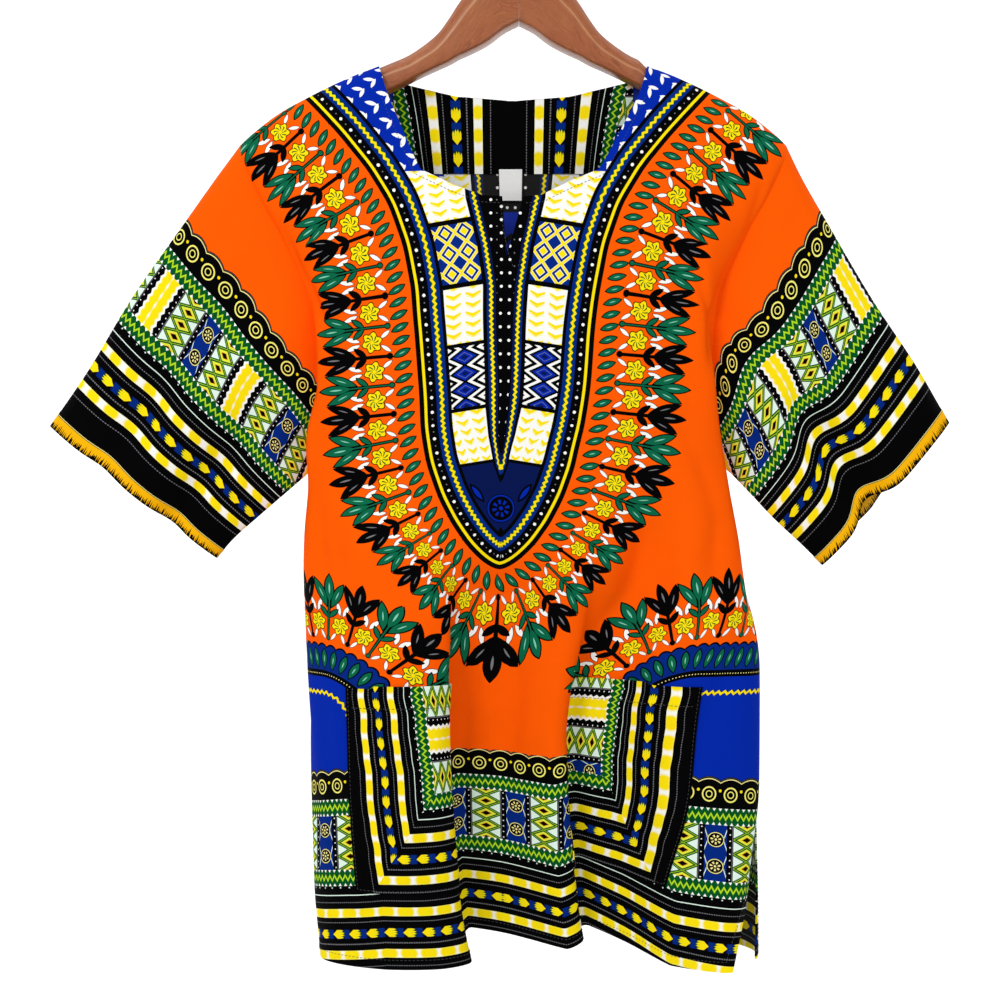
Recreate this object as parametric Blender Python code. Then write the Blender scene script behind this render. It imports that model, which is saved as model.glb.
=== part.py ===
"""Short-sleeved pullover tunic hanging on a contoured wooden hanger.

Metres, +Z up, the wearer's front faces -Y. The origin is the point inside the crown of the
hanger's hook where a rail or a wall hook carries it.

The body of the tunic is a tube of cloth. At each height above the hem it has one plan
section, a smooth curve through named stations, which the front and the back panel share at
their side seams. "out" is a distance towards the viewer of the front, so it is -Y.
"""

from collections import namedtuple
from functools import lru_cache
import math

import bpy
import bmesh
import numpy as np
from mathutils import Vector

# ---------------------------------------------------------------- driving dimensions
CLOTH = 0.0012           # wall of one cloth layer
SEAM_GAP = 0.0003        # air between pieces that are sewn together
LAYER_STEP = CLOTH + SEAM_GAP  # mid-surface to mid-surface of two layers that lie together
LABEL_CLOTH = 0.0010     # wall of the label

HEM_Z = -0.917           # the straight hem, below the hang point
NECK_UP = 0.762          # neck point, above the hem
NECK_HALF = 0.117        # centre to neck point
UNDERARM_UP = 0.415      # top of the side seam, above the hem
SLIT_UP = 0.146          # top of the side slits, above the hem
SHOULDER_UP = 0.694      # top of the armhole, above the hem
SHOULDER_HALF = 0.237    # centre to the top of the armhole
PANEL_HALF = 0.257       # half the flat width of a body panel
RIDGE_ROLL = 0.045       # height over which the cloth rolls off the shoulder ridge

HANG_SHIFT = -0.005      # how far the garment sits to the left of the hanger's middle
LEFT_POCKET = (-0.172, -0.057)  # its two edges, from the centre line of the flat panel
RIGHT_POCKET = (0.064, 0.180)
POCKET_BOTTOM = 0.062    # above the hem
POCKET_TOP = 0.229

FACING_HALF = 0.104      # back neck facing, half its width
FACING_DOWN_TO = 0.673   # its lower edge, above the hem
LABEL_SPAN = (-0.0124, 0.0080)  # left and right edge of the label
LABEL_HEIGHT = 0.027
LABEL_TUCK = 0.004       # how much of the label lies on the facing

WIRE_RADIUS = 0.0018     # hook wire
HOOK_RADIUS = 0.022      # centre line of the hook's bow
SHANK_DEPTH = 0.022      # hook shank inside the wood
SHANK_CLEARANCE = 0.0003

# ---------------------------------------------------------------- tables
# Sections of the body, one row for each height. Each side has a front corner, the edge of the
# front panel, the edge of the back panel and a rear corner. x is measured away from the middle.
Side = namedtuple(
    "Side", "up corner_x corner_out front_x front_out back_x back_out rear_x rear_out"
)
LEFT_SIDE = [
    Side(0.000, 0.163, 0.048, 0.153, 0.020, 0.150, 0.008, 0.160, -0.018),
    Side(0.060, 0.169, 0.044, 0.165, 0.014, 0.164, 0.008, 0.167, -0.020),
    Side(0.146, 0.172, 0.040, 0.172, 0.006, 0.172, 0.006, 0.168, -0.026),
    Side(0.240, 0.174, 0.038, 0.176, 0.004, 0.176, 0.004, 0.167, -0.030),
    Side(0.330, 0.178, 0.034, 0.178, 0.001, 0.178, 0.001, 0.167, -0.032),
    Side(0.415, 0.177, 0.031, 0.172, -0.002, 0.172, -0.002, 0.165, -0.033),
    Side(0.480, 0.168, 0.035, 0.167, 0.010, 0.166, -0.016, 0.166, -0.035),
    Side(0.550, 0.165, 0.037, 0.175, 0.014, 0.175, -0.018, 0.167, -0.035),
    Side(0.610, 0.170, 0.033, 0.200, 0.014, 0.200, -0.018, 0.176, -0.031),
    Side(0.650, 0.185, 0.025, 0.222, 0.013, 0.222, -0.016, 0.188, -0.025),
    Side(0.694, 0.200, 0.019, 0.238, 0.012, 0.238, -0.014, 0.200, -0.019),
    Side(0.770, 0.200, 0.018, 0.238, 0.012, 0.238, -0.014, 0.200, -0.018),
]
RIGHT_SIDE = [
    Side(0.000, 0.163, 0.077, 0.181, 0.079, 0.206, 0.038, 0.207, 0.004),
    Side(0.060, 0.186, 0.068, 0.197, 0.052, 0.208, 0.032, 0.206, -0.002),
    Side(0.146, 0.205, 0.046, 0.209, 0.016, 0.209, 0.016, 0.205, -0.014),
    Side(0.240, 0.206, 0.040, 0.210, 0.006, 0.210, 0.006, 0.199, -0.024),
    Side(0.330, 0.193, 0.036, 0.196, 0.003, 0.196, 0.003, 0.185, -0.030),
    Side(0.415, 0.183, 0.032, 0.178, -0.002, 0.178, -0.002, 0.171, -0.033),
    Side(0.480, 0.174, 0.035, 0.171, 0.010, 0.170, -0.016, 0.170, -0.035),
    Side(0.550, 0.166, 0.037, 0.176, 0.014, 0.176, -0.018, 0.168, -0.035),
    Side(0.610, 0.170, 0.033, 0.200, 0.014, 0.200, -0.018, 0.176, -0.031),
    Side(0.650, 0.185, 0.025, 0.222, 0.013, 0.222, -0.016, 0.188, -0.025),
    Side(0.694, 0.200, 0.019, 0.238, 0.012, 0.238, -0.014, 0.200, -0.019),
    Side(0.770, 0.200, 0.018, 0.238, 0.012, 0.238, -0.014, 0.200, -0.018),
]
# How far the middle of each panel stands out, before its folds.
Middle = namedtuple("Middle", "up front back")
MIDDLE = [
    Middle(0.000, 0.050, -0.040),
    Middle(0.150, 0.052, -0.043),
    Middle(0.300, 0.056, -0.045),
    Middle(0.450, 0.057, -0.044),
    Middle(0.560, 0.051, -0.040),
    Middle(0.640, 0.040, -0.030),
    Middle(0.700, 0.027, -0.021),
    Middle(0.770, 0.018, -0.018),
]
# Crests and hollows of the draped cloth. across is where one starts, from -1 at the left
# corner to 1 at the right; mid_x is where it has gone half-way down; x, out and rise are
# where it has gone at the hem; top is the height above the hem where it begins.
Fold = namedtuple("Fold", "name across mid_x x out rise top")
FRONT_FOLDS = [
    Fold("left flank", -0.86, -0.148, -0.150, 0.070, -0.002, 0.420),
    Fold("left crest", -0.62, -0.112, -0.106, 0.084, -0.004, 0.420),
    Fold("left roll", -0.45, -0.076, -0.058, 0.082, -0.004, 0.400),
    Fold("left roll edge", -0.35, -0.056, -0.036, 0.066, -0.003, 0.370),
    Fold("left return", -0.29, -0.063, -0.046, 0.044, 0.006, 0.370),
    Fold("left hollow", -0.21, -0.050, -0.038, 0.026, 0.016, 0.370),
    Fold("middle", -0.05, -0.012, -0.008, 0.021, 0.010, 0.370),
    Fold("swell", 0.20, 0.032, 0.046, 0.044, 0.002, 0.350),
    Fold("swell edge", 0.28, 0.044, 0.059, 0.036, 0.008, 0.350),
    Fold("swell return", 0.34, 0.037, 0.051, 0.020, 0.012, 0.350),
    Fold("right hollow", 0.42, 0.051, 0.064, 0.010, 0.014, 0.350),
    Fold("right slope", 0.62, 0.092, 0.096, 0.027, 0.004, 0.420),
    Fold("right rise", 0.84, 0.142, 0.132, 0.058, -0.008, 0.420),
]
CENTRE_FOLD = "middle"   # the centre line of the front panel runs down this one
BACK_FOLDS = [
    Fold("left flank", -0.80, -0.130, -0.128, -0.052, 0.000, 0.400),
    Fold("left dip", -0.45, -0.080, -0.078, -0.022, 0.006, 0.380),
    Fold("middle", -0.02, -0.002, -0.006, -0.056, -0.004, 0.420),
    Fold("right dip", 0.42, 0.076, 0.070, -0.024, 0.006, 0.360),
    Fold("right flank", 0.80, 0.150, 0.150, -0.046, -0.008, 0.400),
]
# The shoulder ridge and the two necklines, x from the middle against height above the hem.
Edge = namedtuple("Edge", "x up")
RIDGE = [
    Edge(0.117, 0.7620), Edge(0.138, 0.7540), Edge(0.158, 0.7450), Edge(0.179, 0.7345),
    Edge(0.205, 0.7200), Edge(0.226, 0.7040), Edge(0.237, 0.6940), Edge(0.260, 0.6640),
]
FRONT_NECK = [
    Edge(-0.1172, 0.7620), Edge(-0.1090, 0.7340), Edge(-0.0820, 0.6700), Edge(-0.0793, 0.6657),
    Edge(-0.0500, 0.6513), Edge(-0.0267, 0.6423), Edge(-0.0098, 0.6415), Edge(-0.0065, 0.5870),
    Edge(0.0083, 0.6415), Edge(0.0232, 0.6423), Edge(0.0500, 0.6560), Edge(0.0724, 0.6657),
    Edge(0.0760, 0.6700), Edge(0.1090, 0.7340), Edge(0.1172, 0.7620),
]
BACK_NECK = [
    Edge(-0.1172, 0.7620), Edge(-0.1160, 0.7600), Edge(-0.1145, 0.7575), Edge(-0.1080, 0.7540),
    Edge(-0.0930, 0.7505), Edge(-0.0500, 0.7405), Edge(0.0000, 0.7365), Edge(0.0500, 0.7405),
    Edge(0.0930, 0.7505), Edge(0.1080, 0.7540), Edge(0.1145, 0.7575), Edge(0.1160, 0.7600),
    Edge(0.1172, 0.7620),
]
# Where threads are close together, as each neckline rolls over the hanger.
FRONT_NECK_ROLL = [
    Edge(0.1110, 0.7380), Edge(0.1142, 0.7480), Edge(0.1158, 0.7555), Edge(0.1166, 0.7598),
    Edge(0.1172, 0.7610),
]
BACK_NECK_ROLL = BACK_NECK[9:]
FRONT_NECK_CORNERS = [FRONT_NECK[3], FRONT_NECK[6], FRONT_NECK[7], FRONT_NECK[8], FRONT_NECK[11]]
# Each sleeve, from the armhole (0) to the cuff (1): its upper and lower ridge, how far it is
# puffed out at the front and the back, and how far it swings forward.
Sleeve = namedtuple("Sleeve", "along top_x top_up low_x low_up puff swing")
LEFT_SLEEVE = [
    Sleeve(0.00, 0.239, 0.694, 0.172, 0.413, 0.016, 0.000),
    Sleeve(0.12, 0.259, 0.666, 0.180, 0.405, 0.020, 0.001),
    Sleeve(0.30, 0.286, 0.626, 0.197, 0.391, 0.024, 0.003),
    Sleeve(0.55, 0.332, 0.559, 0.221, 0.370, 0.025, 0.006),
    Sleeve(0.80, 0.369, 0.496, 0.243, 0.350, 0.024, 0.009),
    Sleeve(1.00, 0.402, 0.447, 0.258, 0.333, 0.023, 0.010),
]
RIGHT_SLEEVE = [
    Sleeve(0.00, 0.239, 0.694, 0.178, 0.413, 0.016, 0.000),
    Sleeve(0.12, 0.253, 0.664, 0.187, 0.408, 0.020, 0.001),
    Sleeve(0.30, 0.276, 0.621, 0.202, 0.394, 0.024, 0.004),
    Sleeve(0.55, 0.313, 0.556, 0.226, 0.368, 0.026, 0.008),
    Sleeve(0.80, 0.350, 0.498, 0.250, 0.345, 0.025, 0.012),
    Sleeve(1.00, 0.377, 0.450, 0.268, 0.327, 0.024, 0.014),
]
# Hollows that run down the sleeves: where across it (0 upper ridge, 1 lower ridge), how deep
# and wide, from where to where along it, and how far it draws the front of the cuff up.
Crease = namedtuple("Crease", "across depth width start end draw")
LEFT_SLEEVE_CREASES = [
    Crease(0.34, 0.009, 0.10, 0.05, 1.05, 0.020),
    Crease(0.74, 0.010, 0.09, 0.20, 1.30, 0.025),
]
RIGHT_SLEEVE_CREASES = [
    Crease(0.30, 0.007, 0.09, 0.10, 0.85, 0.000),
    Crease(0.62, 0.016, 0.11, 0.25, 1.50, 0.060),
]
# The wooden arm from the middle of the hanger to its end: upper and lower edge above the hem,
# half its thickness, and the height of the sloping facet along its top. Under the cloth the
# upper edge is lowered to lie just below it.
Arm = namedtuple("Arm", "x top bottom half facet")
ARM = [
    Arm(0.00015, 0.862, 0.799, 0.0120, 0.012), Arm(0.012, 0.861, 0.793, 0.0120, 0.013),
    Arm(0.027, 0.849, 0.782, 0.0120, 0.016), Arm(0.040, 0.834, 0.775, 0.0118, 0.017),
    Arm(0.053, 0.817, 0.769, 0.0116, 0.017), Arm(0.062, 0.803, 0.764, 0.0113, 0.015),
    Arm(0.071, 0.791, 0.760, 0.0111, 0.013), Arm(0.084, 0.780, 0.754, 0.0110, 0.011),
    Arm(0.098, 0.771, 0.747, 0.0106, 0.010), Arm(0.112, 0.765, 0.740, 0.0100, 0.009),
    Arm(0.122, 0.761, 0.736, 0.0099, 0.009), Arm(0.140, 0.756, 0.729, 0.0096, 0.009),
    Arm(0.165, 0.745, 0.717, 0.0094, 0.009), Arm(0.190, 0.735, 0.704, 0.0092, 0.009),
    Arm(0.210, 0.725, 0.692, 0.0086, 0.009), Arm(0.222, 0.715, 0.686, 0.0070, 0.008),
    Arm(0.229, 0.710, 0.686, 0.0045, 0.006),
]
ARM_DROP = 0.0015        # the wood's top below the middle of the cloth that lies on it

# ---------------------------------------------------------------- how finely it is made
FRONT_COLUMNS = 42
BACK_COLUMNS = 19
RIDGE_STEPS = (0.0, 0.0008, 0.0035, 0.0090, 0.0200, 0.0360)
Stop = namedtuple("Stop", "up rows")  # rows of faces from the height before down to this one
FRONT_STOPS = [
    Stop(UNDERARM_UP, 5), Stop(POCKET_TOP, 5), Stop(POCKET_BOTTOM, 4), Stop(0.0, 2),
]
BACK_STOPS = [Stop(FACING_DOWN_TO, 2), Stop(UNDERARM_UP, 5), Stop(0.230, 4), Stop(0.0, 5)]
LABEL_ROWS = 4
SLEEVE_RINGS = 9
SECTION_POINTS = 480     # points along a section before it is shared out
SEAM_SHARE = 0.985       # the threads beside a side seam, between which its direction is taken


# ---------------------------------------------------------------- curves
def smooth(t):
    t = min(1.0, max(0.0, t))
    return t * t * (3 - 2 * t)


def interpolate(rows, key, value):
    """A row between the rows of a table, by a cubic with level-headed slopes."""
    keys = [getattr(r, key) for r in rows]
    value = min(max(value, keys[0]), keys[-1])
    i = max(0, min(len(rows) - 2, sum(k <= value for k in keys) - 1))
    span = keys[i + 1] - keys[i]
    t = (value - keys[i]) / span

    def slope(column, j):
        if j == 0 or j == len(rows) - 1:
            k = min(max(j, 1), len(rows) - 1)
            return (column[k] - column[k - 1]) / (keys[k] - keys[k - 1])
        before = (column[j] - column[j - 1]) / (keys[j] - keys[j - 1])
        after = (column[j + 1] - column[j]) / (keys[j + 1] - keys[j])
        if before * after <= 0:
            return 0.0
        return 2 * before * after / (before + after)

    found = []
    for name in rows[0]._fields:
        column = [getattr(r, name) for r in rows]
        a, b = column[i], column[i + 1]
        sa, sb = slope(column, i) * span, slope(column, i + 1) * span
        found.append(
            a * (1 + 2 * t) * (1 - t) ** 2 + b * t * t * (3 - 2 * t)
            + sa * t * (1 - t) ** 2 - sb * t * t * (1 - t)
        )
    return type(rows[0])(*found)


def spline(points, before, after, count):
    """A centripetal curve through plan points; before and after steer its two ends."""
    p = np.array([before, *points, after], float)
    knots = np.concatenate([[0], np.cumsum(np.linalg.norm(np.diff(p, axis=0), axis=1) ** 0.5)])
    at = np.linspace(knots[1], knots[-2], count)
    i = np.clip(np.searchsorted(knots, at, side="right") - 1, 1, len(p) - 3)
    k0, k1, k2, k3 = (knots[i + j] for j in (-1, 0, 1, 2))
    p0, p1, p2, p3 = (p[i + j] for j in (-1, 0, 1, 2))

    def between(a, b, ka, kb):
        w = ((at - ka) / (kb - ka))[:, None]
        return a * (1 - w) + b * w

    a1, a2, a3 = between(p0, p1, k0, k1), between(p1, p2, k1, k2), between(p2, p3, k2, k3)
    b1, b2 = between(a1, a2, k0, k2), between(a2, a3, k1, k3)
    return between(b1, b2, k1, k2), knots[1:-1]


# ---------------------------------------------------------------- the body's sections
def fold_share(fold, up):
    """How much of a fold is there at this height: none at its top, all of it at the hem."""
    t = max(0.0, (fold.top - up) / fold.top)
    return (1 - (1 - t) ** 3) * smooth(t / 0.2)


def fold_points(folds, up, left, right, middle, corner):
    """Plan points (x, out) of the folds, and how far each has risen."""
    left_x, right_x = -left.corner_x, right.corner_x
    if corner == "rear":
        left_x, right_x = -left.rear_x, right.rear_x
    left_out, right_out = getattr(left, corner + "_out"), getattr(right, corner + "_out")
    points, rises = [], []
    for fold in folds:
        w = fold.across
        x = (left_x + right_x) / 2 + w * (right_x - left_x) / 2
        t = max(0.0, 1 - up / fold.top)
        x += (fold.mid_x - x) * smooth(t / 0.5)
        side_out = left_out if w < 0 else right_out
        out = side_out + (middle - side_out) * (1 - abs(w) ** 2.4)
        share = fold_share(fold, up)
        points.append((x + (fold.x - x) * t**4, out + (fold.out - out) * share))
        rises.append(fold.rise * share * smooth(1 - up / 0.30))
    return points, rises


@lru_cache(maxsize=None)
def section(panel, up):
    """The panel's section at a height: samples of x, out and rise against share, -1 to 1."""
    left, right = (interpolate(side, "up", up) for side in (LEFT_SIDE, RIGHT_SIDE))
    middle = interpolate(MIDDLE, "up", up)
    front, front_rise = fold_points(FRONT_FOLDS, up, left, right, middle.front, "corner")
    back, back_rise = fold_points(BACK_FOLDS, up, left, right, middle.back, "rear")
    front = [
        (-left.front_x, left.front_out), (-left.corner_x, left.corner_out), *front,
        (right.corner_x, right.corner_out), (right.front_x, right.front_out),
    ]
    back = [
        (-left.back_x, left.back_out), (-left.rear_x, left.rear_out), *back,
        (right.rear_x, right.rear_out), (right.back_x, right.back_out),
    ]
    mine, other = (front, back) if panel == "front" else (back, front)
    rises = front_rise if panel == "front" else back_rise
    curve, knots = spline(mine, other[1], other[-2], SECTION_POINTS)
    at = np.linspace(knots[0], knots[-1], SECTION_POINTS)
    rise = np.interp(at, knots, [rises[0], rises[0], *rises, rises[-1], rises[-1]])
    length = np.concatenate([[0], np.cumsum(np.linalg.norm(np.diff(curve, axis=0), axis=1))])
    folds = FRONT_FOLDS if panel == "front" else BACK_FOLDS
    centre = 2 + [f.name for f in folds].index(CENTRE_FOLD)
    middle_length = np.interp(knots[centre], at, length)
    share = np.where(
        length < middle_length,
        length / middle_length - 1,
        (length - middle_length) / (length[-1] - middle_length),
    )
    return share, curve, rise, length[-1]


def ridge_up(x):
    """Height of the shoulder ridge. It runs on up over the open neck."""
    x = abs(x)
    if x < NECK_HALF:
        return NECK_UP + (NECK_HALF - x)
    return interpolate(RIDGE, "x", x).up


def roll(below, out):
    """How far the cloth is out, at a distance below the shoulder ridge."""
    t = min(1.0, max(0.0, below / RIDGE_ROLL))
    return out * math.sqrt(1 - (1 - t) ** 2.6)


def body_point(panel, share, up):
    """(x, out, height above the hem) of a panel's middle surface."""
    shares, curve, rise, _ = section(panel, round(up, 5))
    x = float(np.interp(share, shares, curve[:, 0]))
    out = float(np.interp(share, shares, curve[:, 1]))
    lift = float(np.interp(share, shares, rise))
    return x, roll(ridge_up(x) - up, out), up + lift


def panel_top(panel, share):
    """Height above the hem of the panel's upper edge at a thread."""
    neck = FRONT_NECK if panel == "front" else BACK_NECK
    low, high = 0.55, 0.77
    for _ in range(30):
        up = (low + high) / 2
        x = body_point(panel, share, up)[0]
        edge = float(np.interp(x, *zip(*neck))) if abs(x) < NECK_HALF else ridge_up(x)
        low, high = (up, high) if up < edge else (low, up)
    return min(low, SHOULDER_UP if abs(share) > 0.999 else 1.0)


def placed(x, out, up):
    return x, -out, HEM_Z + up


def body_grid(panel, columns, stops):
    """Points of the panel's middle surface, a column for each share, from the top down. The
    rows are close together on the shoulder ridge, and evenly spread below the necklines."""
    grid = []
    for share in columns:
        top = panel_top(panel, share)
        even = smooth((NECK_HALF - abs(body_point(panel, share, top)[0])) / 0.008)
        steps = np.linspace(0, RIDGE_STEPS[-1], len(RIDGE_STEPS)) * even
        steps += np.array(RIDGE_STEPS) * (1 - even)
        heights = list(top - steps)
        for stop in stops:
            low = min(stop.up, heights[-1] - 0.006 * stop.rows)
            heights += list(np.linspace(heights[-1], low, stop.rows + 1)[1:])
        grid.append([body_point(panel, share, up) for up in heights])
    points = to_world(np.array(grid).transpose(1, 0, 2))
    normals = normals_of(points)
    for c, share in enumerate(columns):
        if abs(points[0, c, 0] - HANG_SHIFT) > NECK_HALF - 0.0005:
            points[0, c, 1] = (-1 if panel == "front" else 1) * SEAM_GAP / 2
            normals[0, c] = unit(normals[0, c] * (1, 0, 1))
        if c not in (0, len(columns) - 1):
            continue
        for r in range(len(points)):
            up = points[r, c, 2] - HEM_Z
            if SLIT_UP - 0.001 < up < UNDERARM_UP + 0.001:
                a, b = (body_point(p, share * SEAM_SHARE, up) for p in ("front", "back"))
                away = math.copysign(1, share)
                normals[r, c] = unit(np.array([a[1] - b[1], a[0] - b[0], 0]) * away)
    return points, normals


# ---------------------------------------------------------------- meshes
def to_world(grid):
    return np.stack([HANG_SHIFT + grid[..., 0], -grid[..., 1], HEM_Z + grid[..., 2]], axis=-1)


def unit(vector):
    return vector / np.linalg.norm(vector)


def normals_of(points, around=False):
    """Unit normals of a grid of points; around says that its columns close on themselves."""
    if around:
        across = np.roll(points, -1, axis=1) - np.roll(points, 1, axis=1)
    else:
        across = np.gradient(points, axis=1)
    down = np.gradient(points, axis=0)
    n = np.cross(across, down)
    return n / np.linalg.norm(n, axis=2, keepdims=True)


def wall(name, points, n, material, thickness=CLOTH, around=False, offset=0.0):
    """A closed wall of cloth on a grid of points, moved along the normals n by offset."""
    outer = points + n * (offset + thickness / 2)
    inner = points + n * (offset - thickness / 2)
    rows, columns = points.shape[:2]
    mesh = bmesh.new()
    layers = [
        [[mesh.verts.new(p) for p in row] for row in layer] for layer in (outer, inner)
    ]
    last = columns if around else columns - 1
    for r in range(rows - 1):
        for c in range(last):
            d = (c + 1) % columns
            for layer, turned in zip(layers, (False, True)):
                face = [layer[r][c], layer[r + 1][c], layer[r + 1][d], layer[r][d]]
                mesh.faces.new(face[::-1] if turned else face)
    rims = [((0, c), (0, (c + 1) % columns)) for c in range(last)]
    rims += [((rows - 1, (c + 1) % columns), (rows - 1, c)) for c in range(last)]
    if not around:
        rims += [((r + 1, 0), (r, 0)) for r in range(rows - 1)]
        rims += [((r, columns - 1), (r + 1, columns - 1)) for r in range(rows - 1)]
    for (ra, ca), (rb, cb) in rims:
        mesh.faces.new([layers[0][ra][ca], layers[0][rb][cb], layers[1][rb][cb], layers[1][ra][ca]])
    bmesh.ops.triangulate(mesh, faces=mesh.faces[:])
    bmesh.ops.recalc_face_normals(mesh, faces=mesh.faces[:])
    return add_object(name, mesh, material)


def add_object(name, mesh, material):
    data = bpy.data.meshes.new(name)
    mesh.to_mesh(data)
    mesh.free()
    data.shade_smooth()
    data.set_sharp_from_angle(angle=math.radians(40))
    data.materials.append(material)
    made = bpy.data.objects.new(name, data)
    bpy.context.scene.collection.objects.link(made)
    return made


def finish(name, colour, roughness, metallic=0.0):
    material = bpy.data.materials.new(name)
    material.use_nodes = True
    shader = material.node_tree.nodes["Principled BSDF"]
    shader.inputs["Base Color"].default_value = (*colour, 1.0)
    shader.inputs["Roughness"].default_value = roughness
    shader.inputs["Metallic"].default_value = metallic
    return material


# ---------------------------------------------------------------- the garment
def share_through(panel, x, up):
    """Thread of the panel that is at x at this height."""
    low, high = -1.0, 1.0
    for _ in range(40):
        share = (low + high) / 2
        low, high = (share, high) if body_point(panel, share, up)[0] < x else (low, share)
    return low


def threads_at(panel, edges, both_sides=False):
    """Threads through points of a neckline, and through their mirror images."""
    signs = (-1, 1) if both_sides else (1,)
    return [share_through(panel, sign * edge.x, edge.up) for edge in edges for sign in signs]


def columns_through(count, keys):
    """Threads spread evenly across a panel, with the keys in place of those close to them."""
    trim = SEAM_GAP / 2 / PANEL_HALF
    even = np.linspace(trim - 1, 1 - trim, count)
    kept = [share for share in even if min(abs(share - key) for key in keys) > 0.8 / count]
    return np.array(sorted([*kept, *keys]))


def threads_between(columns, low, high):
    """Places of the first and last thread from low to high."""
    found = [c for c, share in enumerate(columns) if low - 1e-6 <= share <= high + 1e-6]
    return found[0], found[-1] + 1


def rows_to(stops, count):
    """Row of the grid at the end of the first stops."""
    return len(RIDGE_STEPS) - 1 + sum(stop.rows for stop in stops[:count])


def armhole_edge(points, last, column):
    """A panel's edge from the shoulder to the underarm, in the panel's own straight steps.
    It skips some of the close rows on the ridge and halves the long steps below them."""
    ridge = len(RIDGE_STEPS)
    edge = [points[r, column] for r in (*range(0, ridge - 1, 2), ridge - 1)]
    for r in range(ridge, last + 1):
        a, b = points[r - 1, column], points[r, column]
        if np.linalg.norm(a - b) > 0.03:
            edge.append((a + b) / 2)
        edge.append(b)
    return edge


def sleeve_ring(rows, creases, along, shares, facings, sign):
    """One ring of a sleeve before it is eased into the armhole."""
    ring = []
    for t, facing in zip(shares, facings):
        drawn = sum(c.draw * math.exp(-(((t - c.across) / c.width) ** 2)) for c in creases)
        drawn *= smooth(2 * along - 1) * (facing > 0)
        row = interpolate(rows, "along", along - drawn)
        x = row.top_x + (row.low_x - row.top_x) * t
        up = row.top_up + (row.low_up - row.top_up) * t
        out = row.puff * math.sin(math.pi * t) ** 0.65
        for crease in creases:
            here = smooth((along - crease.start) / 0.3) * smooth((crease.end - along) / 0.3)
            out -= here * crease.depth * math.exp(-(((t - crease.across) / crease.width) ** 2))
        ring.append((sign * x, row.swing + facing * out, up))
    return to_world(np.array(ring))


def sleeve_grid(side, rows, creases, edges):
    """Points of a sleeve's middle surface: rings from the armhole to the cuff. edges holds the
    armhole's front and back edge, each from the shoulder to the underarm."""
    sign = -1 if side == "left" else 1
    front, back = edges
    armhole = np.array([*front, *back[-2:0:-1]])
    facings = [1] * len(front) + [-1] * (len(back) - 2)
    shares = (armhole[0, 2] - armhole[:, 2]) / (armhole[0, 2] - front[-1][2])
    shares = np.clip(shares, 0, 1)
    armhole[0, 1] = 0.0
    armhole[len(front) - 1] = (front[-1] + back[-1]) / 2
    first = sleeve_ring(rows, creases, 0.0, shares, facings, sign)
    onward = sleeve_ring(rows, creases, 0.12, shares, facings, sign) - armhole
    onward /= np.linalg.norm(onward, axis=1)[:, None]
    room = np.array([[LAYER_STEP / 2 + SEAM_GAP + 0.0006 * smooth(3 * t - 1.5)] for t in shares])
    error = armhole + onward * room - first
    grid = []
    for along in np.linspace(0, 1, SLEEVE_RINGS) ** 1.15:
        ring = sleeve_ring(rows, creases, along, shares, facings, sign)
        grid.append(ring + error * (1 - smooth(along / 0.35)))
    return np.array(grid)


def build_garment(print_cloth, label_cloth):
    pockets = {
        "left": [edge / PANEL_HALF for edge in LEFT_POCKET],
        "right": [edge / PANEL_HALF for edge in RIGHT_POCKET],
    }
    keys = pockets["left"] + pockets["right"]
    keys += threads_at("front", FRONT_NECK_CORNERS) + threads_at("front", FRONT_NECK_ROLL, True)
    columns = columns_through(FRONT_COLUMNS, keys)
    front, normals = body_grid("front", columns, FRONT_STOPS)
    wall("front_panel", front, normals, print_cloth)

    rows = slice(rows_to(FRONT_STOPS, 2), rows_to(FRONT_STOPS, 3) + 1)
    for side, ends in pockets.items():
        first, last = threads_between(columns, *ends)
        patch = rows, slice(first, last)
        wall("pocket_" + side, front[patch], normals[patch], print_cloth, offset=-LAYER_STEP)

    ends = [
        [share_through("back", x, FACING_DOWN_TO) for x in span]
        for span in (LABEL_SPAN, (-FACING_HALF, FACING_HALF))
    ]
    keys = threads_at("back", BACK_NECK_ROLL, True)
    columns = columns_through(BACK_COLUMNS, [*ends[0], *ends[1], *keys])
    back, normals = body_grid("back", columns, BACK_STOPS)
    wall("back_panel", back, normals, print_cloth)

    first, last = threads_between(columns, *ends[1])
    low_row = rows_to(BACK_STOPS, 1)
    patch = slice(0, low_row + 1), slice(first, last)
    wall("neck_facing", back[patch], normals[patch], print_cloth, offset=-LAYER_STEP)

    first, last = threads_between(columns, *ends[0])
    above, seam, below = back[low_row - 1 : low_row + 2, first:last]
    top = seam + LABEL_TUCK * unit(above.mean(0) - seam.mean(0))
    bottom = seam + (LABEL_HEIGHT - LABEL_TUCK) * unit(below.mean(0) - seam.mean(0))
    label = np.array([top, seam, (seam + bottom) / 2, bottom])
    wall(
        "size_label", label, normals_of(label), label_cloth, thickness=LABEL_CLOTH,
        offset=-2 * LAYER_STEP,
    )

    for side, rows, creases, column in (
        ("left", LEFT_SLEEVE, LEFT_SLEEVE_CREASES, 0),
        ("right", RIGHT_SLEEVE, RIGHT_SLEEVE_CREASES, -1),
    ):
        edges = (
            armhole_edge(front, rows_to(FRONT_STOPS, 1), column),
            armhole_edge(back, rows_to(BACK_STOPS, 2), column),
        )
        points = sleeve_grid(side, rows, creases, edges)
        normals = normals_of(points, around=True)
        wall("sleeve_" + side, points, normals, print_cloth, around=True)


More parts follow.
